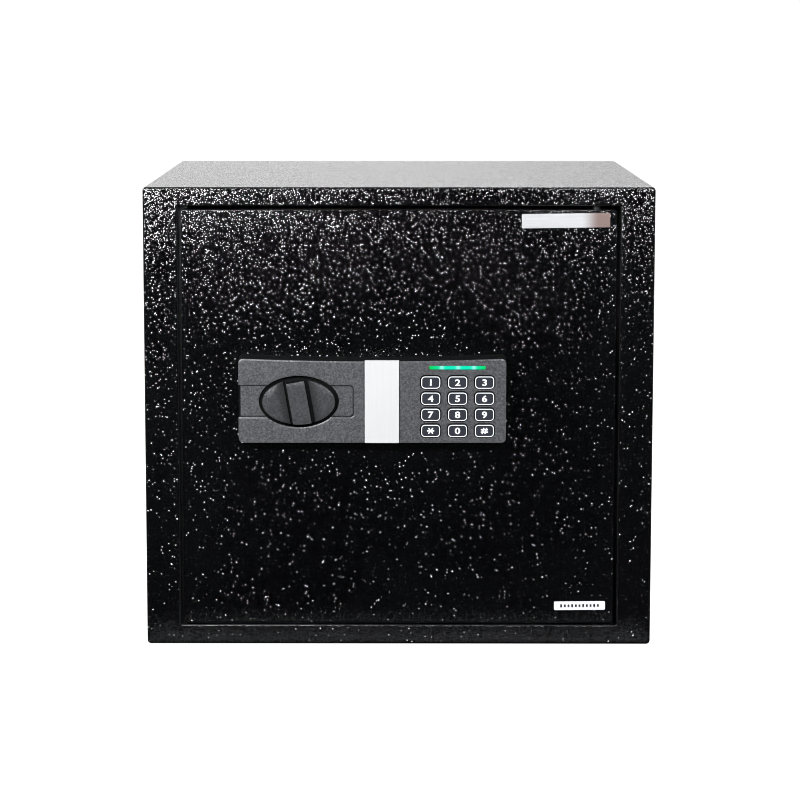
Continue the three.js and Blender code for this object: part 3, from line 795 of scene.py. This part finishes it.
CHANNEL_CORNER = 3 * MM
CHANNEL_DEPTH = 2 * MM
GROOVE = (1 * MM, 3.2 * MM)  # width and depth of the groove just inside the channel's edge
STEP = 1.6 * MM  # how far the panel's left edge steps in where the channel runs out
HUB_HOLE, BARREL_HOLE = 13.3 * MM, 9.3 * MM  # radii
KEYS = [f"key_{n}" for n in (*range(1, 10), "star", 0, "hash")]
KEY_CORNER = 3 * MM
KEY_SKIRT = 0.75 * MM  # how far each key's foot stands out round its cap
KEY_GAP = 0.15 * MM
KEYPAD_GAP = 2.6 * MM  # from the strip to the hollow behind the keys
KEY_PRINT = (0.2 * MM, 0.74 * MM)  # where a key's printed outline starts and ends, from its edge
PRINT_RISE = 0.03 * MM  # how far the print stands in front of the key
LIGHT_GAP = 0.3 * MM


def dipped(points):
    """Lets the top edge of the panel's outline sag in a shallow arc."""
    for p in points:
        up = (p.z - panel_middle.z) / (panel_size.z / 2)
        aside = (p.x - panel_middle.x) / (panel_size.x / 2)
        p.z -= TOP_DIP * max(0.0, min(1.0, up)) * max(0.0, 1 - aside ** 2)
    return points


def flared_hole(outline, depth, chamfer):
    """A cutter for a hole of that outline, with a shallow chamfer at the panel's face."""
    face = panel_low.y
    return loft("flared_hole", [
        outline(chamfer, face - 1 * MM), outline(chamfer, face), outline(0, face + FLARE * chamfer),
        outline(0, face + depth),
    ])


def make_panel_body():
    x, z, width, height = panel_middle.x, panel_middle.z, panel_size.x, panel_size.z

    def outline(grow, y):
        return dipped(loop(x, z, width + 2 * grow, height + 2 * grow, PANEL_CORNER + grow, y, along=28))

    loops = [outline(DRAFT, panel_high.y)]
    for p in loops[0]:
        p.z += TOP_DRAFT * smooth((p.z - z) / (height / 2))
    loops += [outline(-inset, panel_low.y + fall) for inset, fall in PANEL_EDGE]
    return loft("panel_shell", loops)


def channel_cutters():
    """The shallow channel behind the dial, the groove round it, and the step where it runs out."""
    face = panel_low.y
    left, right = panel_low.x - 6 * MM, CHANNEL_RIGHT
    place = ((left + right) / 2, (CHANNEL_LOW + CHANNEL_HIGH) / 2)
    width, height = right - left, CHANNEL_HIGH - CHANNEL_LOW
    outline = rounded(*place, width, height, CHANNEL_CORNER)
    channel = flared_hole(outline, CHANNEL_DEPTH, 0.9 * MM)
    wide, deep = GROOVE
    corners = ((0, 1 * MM), (0, deep), (-wide, deep), (-wide, 1 * MM))
    groove = loft("groove", [outline(grow, face + depth) for grow, depth in corners], closed=True)
    step = block((left, face - THROUGH, CHANNEL_LOW), (panel_low.x + STEP, face + 9 * MM, CHANNEL_HIGH))
    return [channel, groove, step]


def make_lock_panel():
    face, back = panel_low.y, panel_high.y
    knob, lock = centre_of("knob_dial"), centre_of("override_lock_body")
    strip_low, strip_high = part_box("override_cover")

    def well(grow, y):
        return ellipse_loop(knob.x, knob.z, WELL[0] + 2 * grow, WELL[1] + 2 * grow, y)

    cutters = [flared_hole(well, WELL_DEPTH, 1 * MM), *channel_cutters()]
    cutters.append(block(
        (strip_low.x - STRIP_GAP, face - THROUGH, panel_low.z - THROUGH),
        (strip_high.x + STRIP_GAP, face + STRIP_BED, panel_high.z + THROUGH)))
    keypad_left = strip_high.x + KEYPAD_GAP
    for left, right, depth in (  # the two hollows behind the panel's face
        (panel_low.x + PANEL_WALL, keypad_left + 0.1 * MM, WELL_DEPTH + 2 * MM),
        (keypad_left, panel_high.x - PANEL_WALL, PANEL_WALL),
    ):
        cutters.append(block(
            (left, face + depth, panel_low.z + PANEL_WALL),
            (right, back + THROUGH, panel_high.z - PANEL_WALL - TOP_DIP)))
    for place, radius, sides in ((knob, HUB_HOLE, 64), (lock, BARREL_HOLE, 48)):
        axis = (place.x, 0, place.z)
        cutters.append(bore("y", axis, face, back + THROUGH, radius, sides))
    room = KEY_SKIRT + KEY_GAP
    for name in KEYS:
        _, _, place, size = box_of(name)
        outline = rounded(place.x, place.z, size.x + 2 * room, size.z + 2 * room, KEY_CORNER + room)
        cutters.append(flared_hole(outline, 4 * MM, 0.2 * MM))
    _, _, light, size = box_of("status_light")
    outline = rounded(light.x, light.z, size.x + 2 * LIGHT_GAP, size.z + 2 * LIGHT_GAP, 1.3 * MM)
    cutters.append(flared_hole(outline, 4 * MM, 0.2 * MM))

    # Painted shade: the panel's side walls, the walls of its holes and its deepest faces get the
    # painted-shade black.
    def is_painted_shade(polygon):
        depth = polygon.center.y - face
        is_wall = abs(polygon.normal.y) < 0.5 and depth > 0.6 * MM
        return is_wall or depth > WELL_DEPTH + 0.5 * MM

    body = make_panel_body()
    carve(body, *cutters)
    two_materials(body, PANEL, PAINTED_SHADE_BLACK, is_painted_shade)
    finish_piece(body, "door", None, "panel_plastic", "lock_panel", angle=16.5)
    make_painted_shade_liner(knob, face + WELL_DEPTH)


def make_painted_shade_liner(knob, floor):
    """A black ring on the floor of the knob's well: painted shade, darkening the gap round the dial."""
    front, back, inner = floor - 0.8 * MM, floor - 0.05 * MM, (27.2 * MM, 27.2 * MM)
    outer = (WELL[0] - 0.2 * MM, WELL[1] - 0.2 * MM)
    shade_liner = loft("painted_shade_liner", [
        ellipse_loop(knob.x, knob.z, *size, y)
        for size, y in ((outer, back), (outer, front), (inner, front), (inner, back))
    ], closed=True)
    finish_piece(shade_liner, "door", PAINTED_SHADE_BLACK, "dark_plastic")


def make_strip():
    """The cover over the emergency lock."""
    low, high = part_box("override_cover")
    width, height = high.x - low.x, high.z - STRIP_FALL - low.z
    x, z = (low.x + high.x) / 2, low.z + height / 2
    loops = [loop(x, z, width, height, 0.4 * MM, high.y)]
    for inset, fall in rounding(0.5 * MM, 3):
        loops.append(loop(x, z, width - 2 * inset, height - 2 * inset, 0.6 * MM - inset, low.y + fall))
    finish_piece(loft("lock_cover", loops), "override_cover", STRIP, "satin_silver", "override_cover")


def make_key(name):
    """A rubber key with a wider foot, a printed outline and a printed mark."""
    low, high, middle, size = box_of(name)
    step = panel_low.y + 1.5 * MM
    fillet = 0.3 * MM
    ring = rounded(middle.x, middle.z, size.x, size.z, KEY_CORNER)
    cap = loft(f"{name}_cap", [
        ring(KEY_SKIRT, high.y), ring(KEY_SKIRT, step), ring(0, step - 0.3 * MM), ring(0, low.y + fillet),
        ring(-0.3 * fillet, low.y + 0.3 * fillet), ring(-fillet, low.y), ring(-2 * MM, low.y + 0.1 * MM),
    ])
    # Painted shade: the key's skirt and foot, down in the gap round it, are painted black.
    two_materials(cap, RUBBER, PAINTED_SHADE_BLACK, lambda face: face.center.y > step - 0.4 * MM)
    finish_piece(cap, name, None, "key_rubber", name)

    front, root = low.y - PRINT_RISE, low.y + 0.5 * MM
    outer, inner = (-inset for inset in KEY_PRINT)
    outline = loft(f"{name}_ring", [
        ring(-0.12 * MM, root), ring(-0.12 * MM, front + 0.12 * MM),
        ring(outer, front), ring(inner, front), ring(inner, root),
    ], closed=True)
    print_piece = join(f"{name}_print", [outline, make_mark(name, middle, front)])
    finish_piece(print_piece, name, WHITE, "key_rubber")


def sign_bars(name, middle, front, bars):
    """A sign made of straight strokes. Each bar is (x, z, length, degrees). Their fronts lie a micron
    apart, so that no two faces coincide."""
    strokes = []
    for k, (x, z, length, degrees) in enumerate(bars):
        low = (-length / 2, 0.001 * k * MM, -0.5 * MM)
        stroke = box_piece(f"{name}_stroke_{k}", low, (length / 2, 0.5 * MM, 0.5 * MM), 0.1 * MM, 2)
        turn = Matrix.Rotation(-math.radians(degrees), 4, "Y")
        stroke.data.transform(Matrix.Translation((middle.x + x, front, middle.z + z)) @ turn)
        strokes.append(stroke)
    return join(f"{name}_mark", strokes)


DIGIT_SIZE = 7 * MM
DIGIT_HALF_DEPTH = 0.25 * MM
DIGIT_BOLD = 0.17 * MM  # how far each digit's outline is fattened
DIGIT_STRETCH = 1.25  # sideways


def make_mark(name, middle, front):
    """A bold digit, star or hash that stands a little proud of its key."""
    if name == "key_star":
        return sign_bars(name, middle, front, [(0, 0, 5.6 * MM, a) for a in (0, 52, -52)])
    if name == "key_hash":
        upright = [(x * MM, 0, 5 * MM, 74) for x in (-1.1, 1.1)]
        level = [(0, z * MM, 5.6 * MM, 0) for z in (-0.95, 0.95)]
        return sign_bars(name, middle, front, upright + level)
    curve = bpy.data.curves.new(f"{name}_text", "FONT")
    curve.body = name[-1]
    curve.size = DIGIT_SIZE
    curve.extrude = DIGIT_HALF_DEPTH
    curve.offset = DIGIT_BOLD
    curve.resolution_u = 3
    flat = add_object(f"{name}_text", curve)
    bpy.context.view_layer.update()
    mesh = bpy.data.meshes.new_from_object(flat.evaluated_get(bpy.context.evaluated_depsgraph_get()))
    bpy.data.objects.remove(flat)
    mesh.transform(Matrix.Diagonal((DIGIT_STRETCH, 1, 1, 1)))
    xs, ys = [v.co.x for v in mesh.vertices], [v.co.y for v in mesh.vertices]
    mesh.transform(Matrix.Translation((-(min(xs) + max(xs)) / 2, -(min(ys) + max(ys)) / 2, 0)))
    mesh.transform(Matrix.Rotation(math.pi / 2, 4, "X"))
    mesh.transform(Matrix.Translation((middle.x, front + DIGIT_HALF_DEPTH, middle.z)))
    return add_object(f"{name}_mark", mesh)


def make_light():
    low, high, middle, size = box_of("status_light")
    loops = bevelled_loops(middle.x, middle.z, size.x, size.z, 1 * MM, high.y, low.y, 0.5 * MM, 3)
    finish_piece(loft("light_bar", loops), "door", LIGHT, "green_light", "status_light")


# ---- knob

GRIP_END = 15 * MM  # where the bar starts to slope down to its upper end
END_SLOPE = 0.9 * MM  # length of the slope at that end, before the drop
GROOVES = {-1: 2.2 * MM, 1: 3.2 * MM}  # width of the groove on each side of the bar
GROOVE_DEPTH = 4.1 * MM
GROOVE_WALL = 0.3 * MM
RIM_START = 0.76  # where the bevel round the dial starts, as a share of its radius
RIM_BEVEL = 1.35 * MM  # how far that bevel falls
LIP_START, LIP_ROUND = 0.96, 0.8 * MM  # where the dial's rounded lip starts, and how far it falls
LENS_LOW, LENS_RISE, LENS_REACH = 0.6 * MM, 1.6 * MM, 10 * MM  # the hollows on both sides of the bar
END_STEEPNESS, DROP_STEEPNESS = 0.35, 3  # how fast that end falls, and then drops
HOLLOW_MIN = 0.4 * MM  # the least that the dial lies lower beside the bar
HUB_RADIUS, SOCKET_RADIUS = 12.9 * MM, 4.3 * MM
SOCKET_START = 6.5 * MM  # how far behind the dial's front its socket for the spindle ends
DIAL_ROWS = 44


def dial_depth(u, v, rho):
    """How far the dial's front lies behind its highest plane. u runs across the grip bar and v along
    it, and rho is 1 at the rim."""
    away = abs(u) - GRIP_HALF
    bevel = RIM_BEVEL * max(0.0, (rho - RIM_START) / (1 - RIM_START))
    rim = max(0.0, (rho - LIP_START) / (1 - LIP_START))
    edge = bevel + LIP_ROUND * (1 - math.sqrt(max(0.0, 1 - min(rim, 1.0) ** 2)))
    if away <= 0:
        slope, drop = max(0.0, v - GRIP_END), max(0.0, v - GRIP_END - END_SLOPE)
        return max(edge / 2, min(GROOVE_DEPTH, END_STEEPNESS * slope + DROP_STEEPNESS * drop))
    groove = GROOVES[1 if u > 0 else -1]
    down = smooth(away / GROOVE_WALL)
    up = smooth((away - groove + GROOVE_WALL) / GROOVE_WALL)
    lens = LENS_LOW + LENS_RISE * (1 - smooth((away - groove) / LENS_REACH))
    return max(edge + HOLLOW_MIN, GROOVE_DEPTH * down * (1 - up) + lens * up)


def grip_stations(reach):
    """Places across the dial, close together at the walls of the grooves."""
    places = [0.0]
    for side, groove in GROOVES.items():
        far = GRIP_HALF + groove
        steps = [GRIP_HALF * k / 4 for k in range(1, 4)] + [GRIP_HALF]
        steps += [GRIP_HALF + GROOVE_WALL * k / 3 for k in range(1, 4)]
        steps += [far - GROOVE_WALL * k / 3 for k in range(3, -1, -1)]
        steps += [far + (reach * 0.9995 - far) * math.sin(k / 18 * math.pi / 2) for k in range(1, 19)]
        places += [side * step for step in steps]
    return sorted(places)


def make_dial():
    """An oval dial with a bar across it, made as rows of points along the bar. The bar leans left at
    the top: a point (u, v) in its frame is (u cos - v sin, u sin + v cos)."""
    low, high, middle, size = box_of("knob_dial")
    a, b = size.x / 2, size.z / 2
    back = panel_low.y - 0.3 * MM
    cos, sin = math.cos(GRIP_TILT), math.sin(GRIP_TILT)
    points = []
    stations = grip_stations(math.sqrt((a * cos) ** 2 + (b * sin) ** 2))
    for u in stations:
        # Where the line at u meets the oval's rim: qa v^2 + qb v + qc = 0.
        qa = (sin / a) ** 2 + (cos / b) ** 2
        qb = 2 * u * cos * sin * (1 / b ** 2 - 1 / a ** 2)
        qc = (u * cos / a) ** 2 + (u * sin / b) ** 2 - 1
        root = math.sqrt(max(qb * qb - 4 * qa * qc, 0))
        v0, v1 = (-qb - root) / (2 * qa), (-qb + root) / (2 * qa)
        for j in range(DIAL_ROWS + 1):
            v = v0 + (v1 - v0) * (0.5 - 0.5 * math.cos(math.pi * j / DIAL_ROWS))
            x, z = u * cos - v * sin, u * sin + v * cos
            rho = math.sqrt((x / a) ** 2 + (z / b) ** 2)
            points.append((middle.x + x, low.y + dial_depth(u, v, rho), middle.z + z))
    rim = grid_border(len(stations) - 1, DIAL_ROWS)
    base = range(len(points), len(points) + len(rim))
    points += [(points[k][0], back, points[k][2]) for k in rim]
    faces = grid_faces(len(stations) - 1, DIAL_ROWS) + ring_faces(rim, base) + [tuple(base)]

    # Painted shade: the grooves beside the bar and the drop at the bar's upper end are painted black,
    # where shade falls.
    def is_painted_shade(polygon):
        x, z = polygon.center.x - middle.x, polygon.center.z - middle.z
        u, v = x * cos + z * sin, z * cos - x * sin
        away = abs(u) - GRIP_HALF
        in_groove = 0.3 * GROOVE_WALL < away < GROOVES[1 if u > 0 else -1]
        at_end = away <= 0 and v > GRIP_END + END_SLOPE
        return (in_groove or at_end) and polygon.center.y < back

    face = make("dial_face", points, faces)
    two_materials(face, DIAL, PAINTED_SHADE_BLACK, is_painted_shade)
    axis = (middle.x, 0, middle.z)
    combine(face, "UNION", bore("y", axis, back - 0.5 * MM, high.y, HUB_RADIUS))
    carve(face, bore("y", axis, low.y + SOCKET_START, high.y + 1 * MM, SOCKET_RADIUS))
    finish_piece(face, "knob", None, "dark_plastic", "knob_dial", angle=40)


# ---- bolts, inner cover, screws

def make_bolts():
    """Round bolts with a bevelled nose, and a hole for their screw in the other end."""
    nose, chamfer = 1.5 * MM, 0.6 * MM
    hole_depth, hole_radius = 14 * MM, 3.3 * MM
    for name in ("upper_bolt", "lower_bolt"):
        low, high, middle, size = box_of(name)
        radius = size.z / 2
        axis = (0, middle.y, middle.z)
        profile = [(low.x, 0), (low.x, radius - nose), (low.x + 0.4 * nose, radius - 0.45 * nose),
                   (low.x + nose, radius), (high.x - chamfer, radius), (high.x, radius - chamfer)]
        bolt = turned(f"{name}_rod", profile, "x", axis, 56)
        carve(bolt, bore("x", axis, high.x - hole_depth, high.x + 1 * MM, hole_radius, 32))
        finish_piece(bolt, "bolt_carriage", STEEL, "bright_steel", name)


COVER_WALL = 1.7 * MM
COVER_CORNER = 6 * MM
COVER_FILLET = 4 * MM
EXIT_HOLE, RESET_HOLE, SCREW_HOLE = 8.7 * MM, 4.4 * MM, 2.3 * MM  # radii
LID_GAP = 0.3 * MM
RIBS = (140 * MM, 165 * MM, 190 * MM)  # the heights of grooves across the cover, which stiffen it
RIB_WIDTH, RIB_DEPTH = 5 * MM, 0.7 * MM


def make_inner_cover():
    low, high, middle, size = box_of("door_inner_cover")

    outline = rounded(middle.x, middle.z, size.x, size.z, COVER_CORNER)
    inner_back = high.y - COVER_WALL
    loops = [outline(-COVER_WALL, inner_back), outline(-COVER_WALL, low.y), outline(0, low.y)]
    loops += [outline(-inset, high.y - fall) for inset, fall in rounding(COVER_FILLET, 5)]
    cover = loft("cover_shell", loops)
    through = (inner_back - 3 * MM, high.y + 3 * MM)
    cutters = []
    for bolt in (centre_of("lower_bolt"), centre_of("upper_bolt")):
        cutters.append(bore("x", (0, bolt.y, bolt.z), low.x - 3 * MM, low.x + 4 * MM, EXIT_HOLE))
    lid_low, lid_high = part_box("battery_cover")
    gap = LID_GAP
    cutters.append(block(
        (lid_low.x - gap, through[0], lid_low.z - gap), (lid_high.x + gap, through[1], lid_high.z + gap)))
    reset = centre_of("reset_button")
    cutters.append(bore("y", (reset.x, 0, reset.z), *through, RESET_HOLE))
    for k in range(1, 5):
        screw = centre_of(f"cover_screw_{k}")
        cutters.append(bore("y", (screw.x, 0, screw.z), *through, SCREW_HOLE, 24))
    for z in RIBS:
        cutters.append(block(
            (low.x + 30 * MM, high.y - RIB_DEPTH, z), (high.x - 60 * MM, high.y + 2 * MM, z + RIB_WIDTH)))
    carve(cover, *cutters)
    finish_piece(cover, "door", BLACK_PLASTIC, "dark_plastic", "door_inner_cover")


def make_battery_lid():
    low, high, middle, size = box_of("battery_cover")
    edge = 0.4 * MM
    half, depth, first, pitch, width = 9 * MM, 0.6 * MM, 6.8 * MM, 2.4 * MM, 1.2 * MM  # of its grooves
    lid = loft("battery_lid", [
        loop(middle.x, middle.z, size.x, size.z, 1 * MM, low.y),
        loop(middle.x, middle.z, size.x, size.z, 1 * MM, high.y - edge),
        loop(middle.x, middle.z, size.x - 2 * edge, size.z - 2 * edge, 0.7 * MM, high.y),
    ])
    grooves = [
        block((middle.x - half, high.y - depth, high.z - first - width - pitch * k),
              (middle.x + half, high.y + 1 * MM, high.z - first - pitch * k))
        for k in range(4)
    ]
    carve(lid, *grooves)
    finish_piece(lid, "battery_cover", BLACK_PLASTIC, "dark_plastic", "battery_cover")


def make_screws():
    """Domed screws with a cross slot."""
    shank, point = 2 * MM, 1 * MM
    slot_length, slot_depth, slot_width = 5.2 * MM, 1.2 * MM, 1 * MM
    for k in range(1, 5):
        node = f"cover_screw_{k}"
        low, high, middle, size = box_of(node)
        radius = size.x / 2
        seat = high.y - 2.2 * MM
        profile = [(low.y, 0), (low.y, point), (low.y + 3 * MM, shank), (seat, shank), (seat, radius),
                   (seat + 0.9 * MM, radius), (seat + 1.7 * MM, radius * 0.8), (high.y, radius * 0.4),
                   (high.y, 0)]
        screw = turned(f"screw_{k}", profile, "y", (middle.x, 0, middle.z), 40)
        slots = []
        for turn in (0.5, 0.5 + math.pi / 2):
            slot = block((-slot_length / 2, high.y - slot_depth, -slot_width / 2),
                         (slot_length / 2, high.y + 1 * MM, slot_width / 2))
            slot.data.transform(
                Matrix.Translation((middle.x, 0, middle.z)) @ Matrix.Rotation(turn, 4, "Y"))
            slots.append(slot)
        carve(screw, *slots)
        finish_piece(screw, "door", ZINC, "zinc_steel", node)


def make_reset():
    low, high, middle, _ = box_of("reset_button")
    cap, stem, wide = high.y - 6 * MM, 2.5 * MM, 4 * MM
    profile = [(low.y, 0), (low.y, stem), (cap, stem), (cap, wide), (high.y - 1.2 * MM, wide),
               (high.y - 0.4 * MM, 3.4 * MM), (high.y, 2.2 * MM), (high.y, 0)]
    button = turned("reset_cap", profile, "y", (middle.x, 0, middle.z))
    finish_piece(button, "reset_button", RED, "red_plastic", "reset_button")


make_cabinet()
make_mat()
make_door()
make_nameplate()
make_label()
make_lock_panel()
make_strip()
for key in KEYS:
    make_key(key)
make_light()
make_dial()
make_bolts()
make_inner_cover()
make_battery_lid()
make_screws()
make_reset()


# ---- stage, light and camera

FRONT_GLOW, BACK_GLOW = 0.025, 1.08  # brightness of the room in front of and behind the object
FLOOR_HALF = 6.0
FLOOR_DROP = 0.5 * MM  # keeps the floor clear of the cabinet's underside
LIGHT_COLOUR = (0.96, 0.98, 1.0)
LIGHTS = (  # name, place, target, width, height (m) and power (W)
    ("key_light", (-0.4, -0.68, 0.464), (-0.4, FRONT, 0.28), 0.56, 0.09, 5.1),
    ("fill_light", (0.335, -0.68, 0.49), (0.335, FRONT, 0.28), 0.33, 0.09, 2.3),
    ("floor_light", (0, FRONT - 0.02, 0.0005), (0, FRONT - 0.02, 1), 0.4, 0.03, 0.012),
    ("back_light", (0.3, 1.0, 1.1), (0, -FRONT, 0.25), 0.7, 0.1, 6),
    ("side_light_-1", (-1.1, 0.1, 0.75), (-0.2, 0, 0.25), 0.6, 0.12, 5),
    ("side_light_1", (1.1, 0.1, 0.75), (0.2, 0, 0.25), 0.6, 0.12, 5),
)
CAMERA_PLACE = (-0.0032, -2.1646, 0.4954)
CAMERA_PITCH, CAMERA_YAW = math.radians(7.22), math.radians(0.306)
CAMERA_LENS, CAMERA_SENSOR = 114.8, 36
CAMERA_SHIFT = (0.0235, -0.075)


def make_stage():
    h = FLOOR_HALF
    floor = make("floor", [(-h, -h, 0), (h, -h, 0), (h, h, 0), (-h, h, 0)], [(0, 1, 2, 3)])
    s = Shader("pale_floor")
    s.set(
        Base_Color=s.mix(s.noise(3), (0.26, 0.26, 0.26), (0.3, 0.3, 0.3)),
        Roughness=0.9,
        Specular_IOR_Level=0.1,
        Emission_Color=(1, 1, 1, 1),
        Emission_Strength=0.96,
    )
    floor.data.materials.append(s.material)
    floor.location.z = -FLOOR_DROP
    floor.visible_glossy = False


def make_world():
    """A white background. It lights the object from behind and above, and leaves the front dim."""
    world = bpy.data.worlds.new("studio")
    world.use_nodes = True
    background = world.node_tree.nodes["Background"]
    s = Nodes(world.node_tree, "Generated")

    def share(axis, *numbers):
        """Eases from one brightness to another as the direction's part along an axis changes."""
        return s.remap(s.axis(axis), *numbers, smooth=True)

    behind = share("Y", -0.1, 0.5, FRONT_GLOW, BACK_GLOW)
    above = share("Z", 0.6, 0.9, 0.0, 0.5)
    level = share("Z", 0.55, 0.15, 0.35, 1.0)
    horizon = share("Z", -0.12, 0.01, 0.1, 1.0)
    right = share("X", 0.0, 0.1, 1.0, 0.84)
    around = s.times(s.times(behind, right), s.times(level, horizon))
    seen = s.add("ShaderNodeLightPath").outputs["Is Camera Ray"]
    s.feed(background.inputs["Strength"], s.math("MAXIMUM", s.math("ADD", around, above), seen))
    s.feed(background.inputs["Color"], (1, 1, 1, 1))
    bpy.context.scene.world = world


def softbox(name, place, target, width, height, power):
    lamp = bpy.data.lights.new(name, "AREA")
    lamp.shape = "RECTANGLE"
    lamp.size, lamp.size_y = width, height
    lamp.energy = power
    lamp.color = LIGHT_COLOUR
    box = add_object(name, lamp)
    box.location = place
    box.rotation_euler = (Vector(target) - Vector(place)).to_track_quat("-Z", "Y").to_euler()
    box.visible_camera = False


def make_camera():
    lens = bpy.data.cameras.new("camera")
    lens.sensor_width = CAMERA_SENSOR
    lens.lens = CAMERA_LENS
    lens.shift_x, lens.shift_y = CAMERA_SHIFT
    camera = add_object("camera", lens)
    camera.location = CAMERA_PLACE
    camera.rotation_euler = (math.pi / 2 - CAMERA_PITCH, 0, CAMERA_YAW)
    bpy.context.scene.camera = camera


make_stage()
make_world()
for light in LIGHTS:
    softbox(*light)
make_camera()
bpy.context.scene.view_settings.view_transform = "Standard"
bpy.context.scene.cycles.filter_width = 1.0
